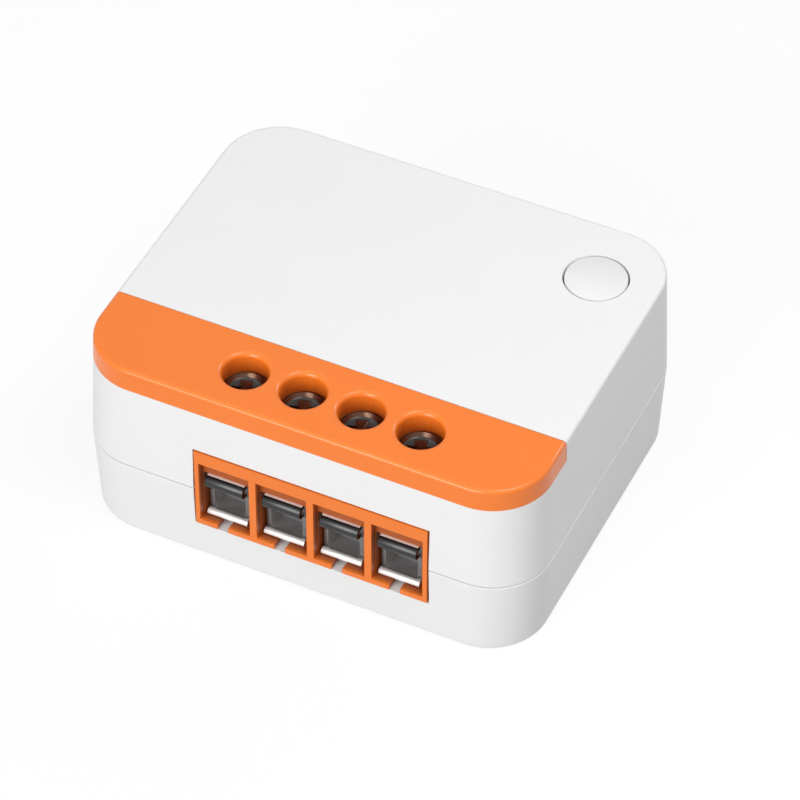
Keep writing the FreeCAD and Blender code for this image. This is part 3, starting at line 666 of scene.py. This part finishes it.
def clamp_cage():
    """Folded sheet box: floor with lip and pad, two side walls and the threaded top."""
    low, high = CAGE_LOW, CAGE_HIGH
    front = low.y + SHEET_SETBACK
    shoulder = low.z + SHOULDER_HEIGHT
    piece = block("clamp_cage", (low.x, front, low.z), high)
    round_edges(piece, edge_along_y, BEND, BEND_STEPS)
    hollow = block("hollow", (low.x + SHEET, front - BEYOND, low.z + SHEET),
                   (high.x - SHEET, high.y + BEYOND, high.z - NUT_THICKNESS))
    round_edges(hollow, edge_along_y, BEND - SHEET, INNER_BEND_STEPS)
    combine(piece, [hollow,
                    block("front_cut", (low.x - BEYOND, front - BEYOND, shoulder),
                          (high.x + BEYOND, SCREW_Y - NUT_LENGTH / 2, high.z + BEYOND)),
                    block("rear_cut", (low.x - BEYOND, SCREW_Y + NUT_LENGTH / 2, shoulder),
                          (high.x + BEYOND, high.y + BEYOND, high.z + BEYOND))])
    lip_top = low.z + LIP_HEIGHT
    lip = block("lip", low, (high.x, low.y + LIP_DEPTH, lip_top))
    round_edges(lip, edges_along_x(low.y, lip_top), LIP_ROUND, LIP_STEPS)
    round_edges(lip, edges_along_x(low.y, low.z), LIP_UNDER_ROUND, LIP_UNDER_STEPS)
    floor = block("floor", (low.x + SKIN, low.y + LIP_DEPTH - OVERLAP, low.z + SKIN),
                  (high.x - SKIN, front + ROOT, low.z + SHEET - SKIN))
    pad = block("pad", (low.x + SHEET + PAD_GAP, SCREW_Y - PAD_LENGTH / 2,
                        low.z + SHEET - OVERLAP),
                (high.x - SHEET - PAD_GAP, SCREW_Y + PAD_LENGTH / 2, low.z + SHEET + PAD_HEIGHT))
    edit(pad, "FACE", face_up, bpy.ops.transform.resize,
         value=(1, 1 - 2 * PAD_SLOPE / PAD_LENGTH, 1), center_override=(METAL_X, SCREW_Y, 0))
    combine(piece, [floor, lip, pad], "UNION")
    combine(piece, rod("thread_hole", SCREW_X, SCREW_Y, SCREW_RADIUS + THREAD_FIT,
                       high.z - NUT_THICKNESS - ROOT, high.z + BEYOND, THREAD_HOLE_STEPS))
    soften(piece, CAGE_SOFT)
    return piece


def contact_bar():
    """Tinned bar, bent from one strip: pin, leg, tongue through the cage and rolled edge."""
    back = BAR_HIGH.y
    leg_front = back - SHEET
    bend_front = leg_front - BAR_BEND
    bend_bottom = BAR_BOTTOM - BAR_BEND
    widening = ROLL_Y + WIDENING_SETBACK
    piece = block("contact_bar", (METAL_X - BAR_HALF, leg_front, BOARD_TOP),
                  (METAL_X + BAR_HALF, back, bend_bottom))
    edit(piece, "FACE", face_up, bpy.ops.mesh.spin, steps=BAR_BEND_STEPS, angle=-pi / 2,
         center=(METAL_X, bend_front, bend_bottom), axis=(1, 0, 0))
    edit(piece, "FACE", front_faces(bend_front), extrude, value=(0, widening - bend_front, 0))
    edit(piece, "FACE", front_faces(widening), extrude, value=(0, -WIDENING_LENGTH, 0))
    widened = front_faces(widening - WIDENING_LENGTH)
    edit(piece, "FACE", widened, bpy.ops.transform.resize,
         value=((ROLL_LEFT + ROLL_RIGHT) / 2 / BAR_HALF, 1, 1), center_override=(METAL_X, 0, 0))
    edit(piece, "FACE", widened, bpy.ops.transform.translate,
         value=((ROLL_RIGHT - ROLL_LEFT) / 2, 0, 0))
    edit(piece, "FACE", widened, extrude, value=(0, ROLL_Y - widening + WIDENING_LENGTH, 0))
    edit(piece, "FACE", front_faces(ROLL_Y), bpy.ops.mesh.spin, steps=ROLL_STEPS,
         angle=2 * pi - pi / 2 - ROLL_OPENING, center=(METAL_X, ROLL_Y, BAR_BOTTOM + ROLL_RADIUS),
         axis=(1, 0, 0))
    combine(piece, block("pin", (METAL_X - PIN / 2, leg_front + PIN_INSET, BAR_LOW.z),
                         (METAL_X + PIN / 2, back - PIN_INSET, BOARD_TOP + PIN_ROOT)), "UNION")
    soften(piece, BAR_SOFT)
    return piece


def clamp_screw():
    """Cheese-head screw: raised ring round a dished top, tapered cross recess, threaded shank."""
    core = SCREW_RADIUS - THREAD_DEPTH
    profile = [(0, SCREW_LOW.z), (core - TIP_INSET, SCREW_LOW.z), (core, SCREW_LOW.z + TIP_HEIGHT),
               (core, HEAD_BOTTOM), (HEAD_RADIUS - HEAD_ROUND, HEAD_BOTTOM),
               (HEAD_RADIUS, HEAD_BOTTOM + HEAD_ROUND)]
    profile += [(HEAD_RADIUS - inward, HEAD_TOP - down) for inward, down in HEAD_RING]
    profile.append((0, HEAD_TOP - DISH_DEPTH))
    piece = turned("clamp_screw", SCREW_X, SCREW_Y, profile)
    combine(piece, thread(core), "UNION")
    combine(piece, [blade(turn) for turn in RECESS_TURNS])
    soften(piece, SCREW_SOFT, SCREW_HARD_ANGLE)
    return piece


def thread(core):
    """Raised helix of the shank, closed at both ends."""
    root = core - THREAD_ROOT
    start = SCREW_LOW.z + THREAD_START
    turns = int((HEAD_BOTTOM - start) / THREAD_PITCH) - 1
    crest = [(SCREW_RADIUS, 0, start + height) for height in THREAD_CREST]
    piece = drawn("thread", [(root, 0, start), *crest, (root, 0, start + THREAD_WIDTH)], "loop")
    modify(piece, "SCREW", axis="Z", angle=2 * pi, screw_offset=THREAD_PITCH, iterations=turns,
           steps=THREAD_STEPS, render_steps=THREAD_STEPS, use_smooth_shade=False)
    edit(piece, "EDGE", everything, bpy.ops.mesh.fill_holes, sides=0)
    face_outward(piece)
    edit(piece, "VERT", everything, bpy.ops.transform.translate, value=(SCREW_X, SCREW_Y, 0))
    return piece


def blade(turn):
    """One wedge of the cross recess, narrower at its bottom."""
    bpy.ops.object.select_all(action="DESELECT")
    bpy.ops.mesh.primitive_cube_add(
        size=1, location=(SCREW_X, SCREW_Y, HEAD_TOP - RECESS_DEPTH / 2 + OVERLAP),
        rotation=(0, 0, turn), scale=(RECESS_LENGTH, RECESS_WIDTH, RECESS_DEPTH + 2 * OVERLAP))
    piece = keep_place("blade")
    edit(piece, "FACE", face_down, bpy.ops.transform.resize, value=RECESS_TAPER,
         orient_type="GLOBAL", center_override=(SCREW_X, SCREW_Y, 0))
    return piece


# Button

def push_button():
    """Button turned from a profile: stem, flange, rounded edge and crowned top."""
    top = TOP + BUTTON_RISE
    edge = top - CROWN - BUTTON_EDGE
    flange = (BUTTON_HIGH.x - BUTTON_LOW.x) / 2
    flange_top = CEILING - FLANGE_GAP
    profile = [(0, BUTTON_LOW.z), (STEM_RADIUS, BUTTON_LOW.z),
               (STEM_RADIUS, flange_top - FLANGE_THICKNESS),
               (flange, flange_top - FLANGE_THICKNESS), (flange, flange_top),
               (BUTTON_RADIUS, flange_top)]
    profile += [(BUTTON_RADIUS - BUTTON_EDGE * (1 - cos(turn)), edge + BUTTON_EDGE * sin(turn))
                for turn in quarter_turn(BUTTON_EDGE_STEPS)]
    for step in range(CROWN_STEPS - 1, -1, -1):
        share = step / CROWN_STEPS
        profile.append(((BUTTON_RADIUS - BUTTON_EDGE) * share, top - CROWN * share ** 2))
    return turned("push_button", BUTTON_X, BUTTON_Y, profile, BUTTON_STEPS)


# Finishes

def grey(level):
    return (level, level, level)


# Tones: each finish drifts between two, and GLOSS values are the ends of its roughness.

CASE_WHITE, CASE_GLOSS = (grey(0.83), grey(0.81)), (0.37, 0.49)
BUTTON_WHITE, BUTTON_GLOSS = (grey(0.79), grey(0.77)), (0.33, 0.45)
STRIP_ORANGE, STRIP_GLOSS = ((0.89, 0.205, 0.021), (0.86, 0.195, 0.019)), (0.24, 0.36)
MOUTH_ORANGE, MOUTH_GLOSS = ((0.86, 0.200, 0.022), (0.82, 0.188, 0.020)), (0.38, 0.50)
# Painted shade on the terminal block inside its mouths.
CHAMBER_PAINTED_SHADE = (0.42, 0.090, 0.010), (0.38, 0.080, 0.008)
# Painted highlight: the cage's lip is painted near white.
LIP_PAINTED_HIGHLIGHT = grey(1.0), grey(0.94)
CAGE_ZINC, CAGE_GLOSS = ((0.66, 0.65, 0.64), (0.56, 0.55, 0.55)), (0.30, 0.42)
# Painted shade on the cage's faces that look forward.
CAGE_FRONT_PAINTED_SHADE = grey(0.18)
# Painted highlight along the back of the contact bar's roll, and painted shade on its front.
ROLL_PAINTED_HIGHLIGHT, ROLL_GLOSS = (grey(0.98), grey(0.92)), (0.28, 0.38)
ROLL_PAINTED_SHADE = (0.022, 0.022, 0.023), (0.055, 0.055, 0.056)
SCREW_FLAT, SCREW_GLOSS = ((0.060, 0.056, 0.056), (0.040, 0.038, 0.038)), (0.22, 0.34)
# Painted reflection: the screw's steep faces are painted lighter and orange.
SCREW_STEEP_PAINTED_REFLECTION = (0.165, 0.088, 0.056), (0.105, 0.062, 0.044)
CAN_STEEL, CAN_GLOSS = ((0.58, 0.57, 0.54), (0.50, 0.49, 0.47)), (0.20, 0.36)
PIN_TIN, PIN_GLOSS = ((0.66, 0.65, 0.62), (0.55, 0.54, 0.52)), (0.18, 0.34)
SWITCH_BLACK, SWITCH_GLOSS = ((0.014, 0.014, 0.015), (0.020, 0.020, 0.022)), (0.40, 0.52)
RELAY_BLACK, RELAY_GLOSS = ((0.012, 0.014, 0.020), (0.018, 0.020, 0.028)), (0.31, 0.43)
PACKAGE_BLACK, PACKAGE_GLOSS = ((0.012, 0.012, 0.013), (0.022, 0.022, 0.023)), (0.38, 0.58)
LEG_TIN = (0.62, 0.61, 0.59), (0.50, 0.49, 0.48)
LACQUER, BOARD_GLOSS = ((0.010, 0.075, 0.030), (0.018, 0.110, 0.045)), (0.28, 0.48)
FIBRE = (0.42, 0.36, 0.17), (0.34, 0.28, 0.12)
SLEEVE_BLUE, CAPACITOR_GLOSS = ((0.010, 0.013, 0.030), (0.016, 0.020, 0.042)), (0.27, 0.42)
CAN_TOP = grey(0.78), (0.70, 0.70, 0.71)
SLEEVE_BLACK, INDUCTOR_GLOSS = (grey(0.012), grey(0.020)), (0.35, 0.50)
FERRITE = (0.055, 0.052, 0.050), (0.040, 0.038, 0.037)
VARISTOR_BLUE, VARISTOR_GLOSS = ((0.010, 0.055, 0.24), (0.014, 0.070, 0.30)), (0.42, 0.22)
RESISTOR_GREEN, RESISTOR_GLOSS = ((0.060, 0.150, 0.110), (0.045, 0.115, 0.085)), (0.25, 0.40)
RESISTOR_BANDS = ((0.22, (0.20, 0.07, 0.03)), (0.40, grey(0.01)), (0.58, (0.35, 0.20, 0.03)),
                  (0.80, (0.40, 0.38, 0.36)))
PAPER = grey(0.95), grey(0.97)

PLASTIC_IOR = 1.49
BOARD_IOR = 1.5
DIPPED_IOR = 1.52
DIPPED_COAT = 0.4
LIP_METAL = 0.35             # how metallic the lip, which carries a painted highlight, and the inside of a cage are
CAGE_METAL = 0.7
GRAIN = 0.07                 # size of the spark marks in moulded plastic, and their depth
GRAIN_DEPTH = 0.0016
MARK = 0.35                  # size of the rolling marks in sheet metal, and their depth
MARK_DEPTH = 0.001
STAIN = 0.8
WEAVE = 0.5
BAND_HALF = 0.045            # as a share of the resistor's length, like the wander of its bands
BAND_WANDER = 0.01
SOFT_NOISE = 2.0             # detail of noises without fine edges
RICH_NOISE = 3.0


class Signal:
    """A shader socket that takes part in sums."""

    def __init__(self, finish, socket):
        self.finish = finish
        self.socket = socket

    def sum(self, operation, first, second):
        return self.finish.node("ShaderNodeMath", {"operation": operation}, {0: first, 1: second})

    def __add__(self, other):
        return self.sum("ADD", self, other)

    def __radd__(self, other):
        return self.sum("ADD", other, self)

    def __sub__(self, other):
        return self.sum("SUBTRACT", self, other)

    def __rsub__(self, other):
        return self.sum("SUBTRACT", other, self)

    def __mul__(self, other):
        return self.sum("MULTIPLY", self, other)

    def __rmul__(self, other):
        return self.sum("MULTIPLY", other, self)


class Finish:
    """A material being made: its shader, and the nodes that vary it over the surface."""

    def __init__(self, name, **constants):
        self.material = bpy.data.materials.new(name)
        self.material.use_nodes = True
        self.tree = self.material.node_tree
        self.shader = self.tree.nodes["Principled BSDF"]
        for socket, value in constants.items():
            self.shader.inputs[socket.replace("_", " ")].default_value = value

    def node(self, kind, settings=None, inputs=None, output=0):
        node = self.tree.nodes.new(kind)
        for name, value in (settings or {}).items():
            setattr(node, name, value)
        for name, value in (inputs or {}).items():
            self.set(node.inputs[name], value)
        return Signal(self, node.outputs[output])

    def set(self, socket, value):
        if isinstance(value, Signal):
            self.tree.links.new(value.socket, socket)
        else:
            socket.default_value = value

    def drive(self, **sockets):
        """Feeds the shader's own sockets."""
        for name, value in sockets.items():
            self.set(self.shader.inputs[name.replace("_", " ")], value)
        return self

    def part(self, vector, axis):
        return self.node("ShaderNodeSeparateXYZ", {}, {"Vector": vector}, axis)

    def place(self):
        return self.node("ShaderNodeTexCoord", output="Object")

    def place_along(self, axis):
        return self.part(self.place(), axis)

    def normal_along(self, axis):
        return self.part(self.node("ShaderNodeTexCoord", output="Normal"), axis)

    def stretched(self, scale):
        return self.node("ShaderNodeMapping", {}, {"Vector": self.place(), "Scale": scale})

    def noise(self, size, detail=RICH_NOISE, roughness=0.55, vector=None):
        """Noise whose blobs are about one size across."""
        return self.node("ShaderNodeTexNoise", {}, {
            "Vector": vector or self.place(), "Scale": 1 / (size * MM), "Detail": detail,
            "Roughness": roughness})

    def marks(self, grain):
        """Rolling marks of sheet metal, drawn out along one way."""
        return self.noise(size=MARK, roughness=0.6, vector=self.stretched(grain))

    def cells(self, size):
        return self.node("ShaderNodeTexVoronoi", {}, {
            "Vector": self.place(), "Scale": 1 / (size * MM)}, "Distance")

    def wave(self, period, direction):
        return self.node("ShaderNodeTexWave", {"bands_direction": direction}, {
            "Vector": self.place(), "Scale": pi / 10 / (period * MM), "Distortion": 0.6,
            "Detail": 1.0}, "Fac")

    def average(self, first, second, share=0.5):
        return first * share + second * (1 - share)

    def spread(self, value, low, high):
        """Brings a value that runs from 0 to 1 to another range."""
        return value * (high - low) + low

    def blend(self, share, first, second):
        return self.node("ShaderNodeMix", {"data_type": "RGBA"}, {
            0: share, 6: (*first, 1) if isinstance(first, tuple) else first,
            7: (*second, 1) if isinstance(second, tuple) else second}, 2)

    def ramp(self, value, start, end):
        """Runs smoothly from 0 at the start to 1 at the end."""
        return self.node("ShaderNodeMapRange", {"interpolation_type": "SMOOTHSTEP"},
                         {"Value": value, "From Min": start, "From Max": end})

    def band(self, value, middle, half):
        """1 within a distance of the middle, 0 outside."""
        return self.node("ShaderNodeMath", {"operation": "COMPARE"}, {0: value, 1: middle, 2: half})

    def level(self):
        """1 on faces that look up or down, 0 on upright ones."""
        height = self.node("ShaderNodeMath", {"operation": "ABSOLUTE"}, {0: self.normal_along("Z")})
        return self.ramp(height, start=0.6, end=0.8)

    def relief(self, height, depth):
        """Bump whose height, from 0 to 1, stands for a depth."""
        return self.node("ShaderNodeBump", {}, {"Height": height, "Distance": depth * MM,
                                                "Strength": 1.0})


def moulded(name, tones, gloss, grain=GRAIN, depth=GRAIN_DEPTH):
    """Satin moulded plastic: fine sparked grain, faint flow marks and uneven gloss."""
    finish = Finish(name, IOR=PLASTIC_IOR)
    flow = finish.noise(size=6.0, detail=SOFT_NOISE)
    fine = finish.noise(size=grain, detail=SOFT_NOISE)
    return finish.drive(
        Base_Color=finish.blend(flow, *tones),
        Roughness=finish.spread(finish.average(flow, fine), *gloss),
        Normal=finish.relief(fine, depth=depth)).material


def plated(name, tones, gloss, grain=(1, 12, 1)):
    """Plated sheet metal: rolling marks along one way, and faint stains."""
    finish = Finish(name, Metallic=1.0)
    lines = finish.marks(grain)
    return finish.drive(
        Base_Color=finish.blend(finish.noise(size=STAIN), *tones),
        Roughness=finish.spread(lines, *gloss),
        Normal=finish.relief(lines, depth=MARK_DEPTH)).material


def cage_sheet():
    """Zinc-plated sheet, with a painted highlight on the lip and painted shade on the faces inside
    that look forward.
    """
    finish = Finish("cage_steel", Metallic=1.0)
    lines = finish.marks((1, 12, 1))
    stain = finish.noise(size=STAIN)
    lip_back = CAGE_LOW.y + LIP_DEPTH
    inside = finish.ramp(finish.place_along("Y"), start=(lip_back - 0.1) * MM,
                         end=(lip_back + 0.05) * MM)
    # painted shade: faces inside the cage that look forward are painted dark
    facing_front = finish.ramp(finish.normal_along("Y") * -1.0, start=0.3, end=0.9)
    zinc_and_front_shade = finish.blend(facing_front, finish.blend(stain, *CAGE_ZINC), CAGE_FRONT_PAINTED_SHADE)
    return finish.drive(
        # painted highlight on the lip, painted shade on the forward-looking faces inside
        Base_Color=finish.blend(inside, finish.blend(stain, *LIP_PAINTED_HIGHLIGHT), zinc_and_front_shade),
        # the lip is less metallic, so that its painted highlight shows white
        Metallic=finish.spread(inside, LIP_METAL, CAGE_METAL),
        Roughness=finish.spread(lines, *CAGE_GLOSS),
        Normal=finish.relief(lines, depth=MARK_DEPTH)).material


def rolled_tin():
    """Tinned strip: painted highlight along the back of the roll, painted shade on its front."""
    finish = Finish("bar_tin", Metallic=1.0)
    lines = finish.marks((12, 1, 1))
    facing_back = finish.normal_along("Y")
    front = finish.ramp(facing_back * -1.0, start=0.2, end=1.0)
    back = (finish.ramp(facing_back, start=-0.30, end=-0.16)
            * finish.ramp(finish.normal_along("Z"), start=0.3, end=0.6))
    return finish.drive(
        # painted highlight on the back of the roll, painted shade on its front; the highlight is
        # almost not metallic so that it shows white
        Base_Color=finish.blend(back, finish.blend(front, *ROLL_PAINTED_SHADE),
                                finish.blend(finish.noise(size=STAIN), *ROLL_PAINTED_HIGHLIGHT)),
        Metallic=finish.spread(back, low=1.0, high=0.1),
        Roughness=finish.spread(lines, *ROLL_GLOSS),
        Normal=finish.relief(lines, depth=MARK_DEPTH)).material


def screw_plating():
    """Dark plating, with a painted orange reflection on the steep faces inside the ring and the
    recess.
    """
    finish = Finish("screw_steel", Metallic=1.0)
    stain = finish.noise(size=0.5)
    fine = finish.noise(size=0.08, detail=SOFT_NOISE)
    return finish.drive(
        # painted reflection on the steep faces, dark plating on the flat ones
        Base_Color=finish.blend(finish.level(), finish.blend(stain, *SCREW_STEEP_PAINTED_REFLECTION),
                                finish.blend(stain, *SCREW_FLAT)),
        Roughness=finish.spread(finish.average(stain, fine), *SCREW_GLOSS),
        Normal=finish.relief(fine, depth=0.0008)).material


def block_plastic():
    """The strip's plastic, with painted shade inside the mouths."""
    finish = Finish("block_plastic", IOR=PLASTIC_IOR)
    flow = finish.noise(size=3.0, detail=SOFT_NOISE)
    fine = finish.noise(size=GRAIN, detail=SOFT_NOISE)
    inside = finish.ramp(finish.place_along("Y"), start=(FRONT + 0.05) * MM,
                         end=(FRONT + 0.5) * MM)
    return finish.drive(
        # painted shade behind the front of the mouths
        Base_Color=finish.blend(inside, finish.blend(flow, *MOUTH_ORANGE),
                                finish.blend(flow, *CHAMBER_PAINTED_SHADE)),
        Roughness=finish.spread(finish.average(flow, fine), *MOUTH_GLOSS),
        Normal=finish.relief(fine, depth=GRAIN_DEPTH)).material


def laminate():
    """Glass-fibre board: green lacquer over the weave, bare yellowish edges."""
    finish = Finish("board_laminate", IOR=BOARD_IOR)
    weave = finish.average(finish.wave(WEAVE, "X"), finish.wave(WEAVE, "Y"))
    cloud = finish.noise(size=4.0, detail=SOFT_NOISE)
    return finish.drive(
        Base_Color=finish.blend(finish.level(), finish.blend(weave, *FIBRE),
                                finish.blend(cloud, *LACQUER)),
        Roughness=finish.spread(finish.average(weave, cloud, share=0.6), *BOARD_GLOSS),
        Normal=finish.relief(weave, depth=0.004)).material


def capped(name, sleeve_tones, cap_tones, gloss, metal):
    """Sleeved part whose flat ends are bare."""
    finish = Finish(name, IOR=BOARD_IOR)
    ends = finish.level()
    wrinkle = finish.noise(size=0.9, detail=SOFT_NOISE, roughness=0.5,
                           vector=finish.stretched((1, 1, 3)))
    fine = finish.noise(size=0.12, detail=SOFT_NOISE)
    return finish.drive(
        Base_Color=finish.blend(ends, finish.blend(wrinkle, *sleeve_tones),
                                finish.blend(fine, *cap_tones)),
        Metallic=ends * metal,
        Roughness=finish.spread(finish.average(wrinkle, fine, share=0.6), *gloss),
        Normal=finish.relief(finish.average(wrinkle, fine, share=0.7), depth=0.006)).material


def dipped(name, tones, gloss):
    """Glossy dipped coat with slow waves and a few pinholes."""
    finish = Finish(name, IOR=DIPPED_IOR)
    slow = finish.noise(size=1.6, detail=SOFT_NOISE)
    sound = finish.ramp(finish.cells(size=0.4), start=0.02, end=0.10)
    return finish.drive(
        Base_Color=finish.blend(slow, *tones),
        Roughness=finish.spread(sound, *gloss),
        Coat_Weight=sound * DIPPED_COAT,
        Normal=finish.relief(finish.average(slow, sound, share=0.8), depth=0.012)).material


def banded_coat():
    """Resistor coat with its colour bands round the body."""
    low, high = box_mm("fuse_resistor")
    finish = Finish("resistor_coat", IOR=BOARD_IOR)
    slow = finish.noise(size=0.7)
    share = (finish.place_along("Y") * (1 / MM) - low.y) * (1 / (high.y - low.y))
    shade = finish.blend(slow, *RESISTOR_GREEN)
    for middle, tone in RESISTOR_BANDS:
        band = finish.band(share + slow * BAND_WANDER, middle, half=BAND_HALF)
        shade = finish.blend(band, shade, tone)
    return finish.drive(Base_Color=shade, Roughness=finish.spread(slow, *RESISTOR_GLOSS),
                        Normal=finish.relief(slow, depth=0.006)).material


def legged_plastic():
    """Black moulded package whose legs, low down, are tinned."""
    finish = Finish("black_plastic", IOR=BOARD_IOR)
    fine = finish.noise(size=0.10, detail=SOFT_NOISE)
    cloud = finish.noise(size=1.5, detail=SOFT_NOISE)
    legs = finish.ramp(finish.place_along("Z"), start=(BOARD_TOP + 0.28) * MM,
                       end=(BOARD_TOP + 0.25) * MM)
    return finish.drive(
        Base_Color=finish.blend(legs, finish.blend(cloud, *PACKAGE_BLACK),
                                finish.blend(fine, *LEG_TIN)),
        Metallic=legs,
        Roughness=finish.spread(fine, *PACKAGE_GLOSS),
        Normal=finish.relief(fine, depth=0.003)).material


def dress(material, *nodes):
    """Gives CAD nodes whose shape stays their finish."""
    for name in nodes:
        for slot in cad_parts[name].material_slots:
            slot.material = material


# Floor, lights and camera

def seen_directly(finish):
    """1 for what the camera sees straight, in a mirror or through glass, 0 for light on things."""
    rays = [finish.node("ShaderNodeLightPath", output=name)
            for name in ("Is Camera Ray", "Is Glossy Ray", "Is Transmission Ray")]
    return rays[0] + rays[1] + rays[2]


class Sky(Finish):
    """The world's own nodes."""

    def __init__(self, world):
        self.tree = world.node_tree
        self.shader = self.tree.nodes["Background"]


def paper_floor():
    """White floor that keeps the object's shadow."""
    bpy.ops.object.select_all(action="DESELECT")
    bpy.ops.mesh.primitive_plane_add(size=FLOOR_SIZE, location=(0, 0, 0))
    floor = bpy.context.object
    floor.name = "floor"
    finish = Finish("floor_paper", Roughness=0.9)
    seen = seen_directly(finish)
    finish.drive(Base_Color=finish.blend(seen, grey(FLOOR_BOUNCE),
                                         finish.blend(finish.noise(size=3.0), *PAPER)))
    white = finish.node("ShaderNodeEmission", {}, {"Color": (1, 1, 1, 1), "Strength": 1.0})
    mixed = finish.node("ShaderNodeMixShader", {}, {
        0: seen * FLOOR_LIFT, 1: Signal(finish, finish.shader.outputs[0]), 2: white})
    finish.set(finish.tree.nodes["Material Output"].inputs["Surface"], mixed)
    floor.data.materials.append(finish.material)


def white_sky():
    world = bpy.data.worlds.new("studio")
    world.use_nodes = True
    sky = Sky(world)
    sky.drive(Color=sky.blend(seen_directly(sky), grey(SKY_LIGHT), grey(1)))
    bpy.context.scene.world = world


def lamp(name, place, size, power):
    """Round lamp that looks at the object."""
    data = bpy.data.lights.new(name, "AREA")
    data.shape = "DISK"
    data.size = size
    data.energy = power
    light = bpy.data.objects.new(name, data)
    light.location = place
    light.rotation_euler = (-Vector(place)).to_track_quat("-Z", "Y").to_euler()
    bpy.context.scene.collection.objects.link(light)


def camera():
    """The photograph's viewpoint, solved from the case's straight edges."""
    data = bpy.data.cameras.new("camera")
    data.sensor_width = CAMERA_SENSOR
    data.lens = CAMERA_LENS
    data.clip_start, data.clip_end = CAMERA_CLIP
    view = bpy.data.objects.new("camera", data)
    view.location = CAMERA_PLACE
    turn = Vector(CAMERA_AIM).to_track_quat("-Z", "Y")
    view.rotation_euler = (turn @ Euler((0, 0, CAMERA_ROLL)).to_quaternion()).to_euler()
    bpy.context.scene.collection.objects.link(view)
    bpy.context.scene.camera = view


camera()
paper_floor()
white_sky()
for settings in LAMPS:
    lamp(*settings)

white = moulded("case_plastic", CASE_WHITE, CASE_GLOSS)
orange = moulded("orange_plastic", STRIP_ORANGE, STRIP_GLOSS)
block_orange = block_plastic()
button_white = moulded("button_plastic", BUTTON_WHITE, BUTTON_GLOSS)
cage_steel = cage_sheet()
bar_tin = rolled_tin()
screw_steel = screw_plating()
can_steel = plated("shield_steel", CAN_STEEL, CAN_GLOSS)
pin_tin = plated("pin_tin", PIN_TIN, PIN_GLOSS, grain=(1, 1, 8))
switch_black = moulded("dark_plastic", SWITCH_BLACK, SWITCH_GLOSS, 0.10, 0.003)
relay_black = moulded("relay_plastic", RELAY_BLACK, RELAY_GLOSS, 0.12, 0.002)

hand_over(upper_shell(), white, "root", "case_plastic", "upper_case")
hand_over(lower_shell(), white, "root", "case_plastic", "lower_case")
hand_over(screw_strip(), orange, "root", "orange_plastic", "front_strip")
hand_over(terminal_frame(), block_orange, "root", "orange_plastic", "terminal_block")
hand_over(push_button(), button_white, "button", "button_plastic", "button_cap")
numbers = range(1, TERMINALS + 1)
for piece, number in zip(copies(clamp_cage(), [f"cage_sheet_{n}" for n in numbers]), numbers):
    hand_over(piece, cage_steel, f"cage_{number}", "plated_steel", f"clamp_cage_{number}")
for piece, number in zip(copies(contact_bar(), [f"rolled_bar_{n}" for n in numbers]), numbers):
    hand_over(piece, bar_tin, "root", "tinned_brass", f"contact_bar_{number}")
for piece, number in zip(copies(clamp_screw(), [f"screw_head_{n}" for n in numbers]), numbers):
    hand_over(piece, screw_steel, f"screw_{number}", "screw_steel", f"clamp_screw_{number}")

dress(laminate(), "main_board", "radio_board")
dress(can_steel, "radio_shield", "tact_switch_cover")
dress(switch_black, "tact_switch_body", "tact_switch_plunger", "header_spacers")
dress(legged_plastic(), "bridge_rectifier", "converter_chip")
dress(relay_black, "relay_cover", "relay_base")
dress(pin_tin, "header_pins", "relay_pins", "component_leads")
dress(capped("capacitor_sleeve", SLEEVE_BLUE, CAN_TOP, CAPACITOR_GLOSS, 1.0),
      "bulk_capacitor", "small_capacitor")
dress(capped("inductor_sleeve", SLEEVE_BLACK, FERRITE, INDUCTOR_GLOSS, 0.0), "supply_inductor")
dress(dipped("varistor_coat", VARISTOR_BLUE, VARISTOR_GLOSS), "surge_varistor")
dress(banded_coat(), "fuse_resistor")

view = bpy.context.scene.view_settings
view.view_transform = "Standard"
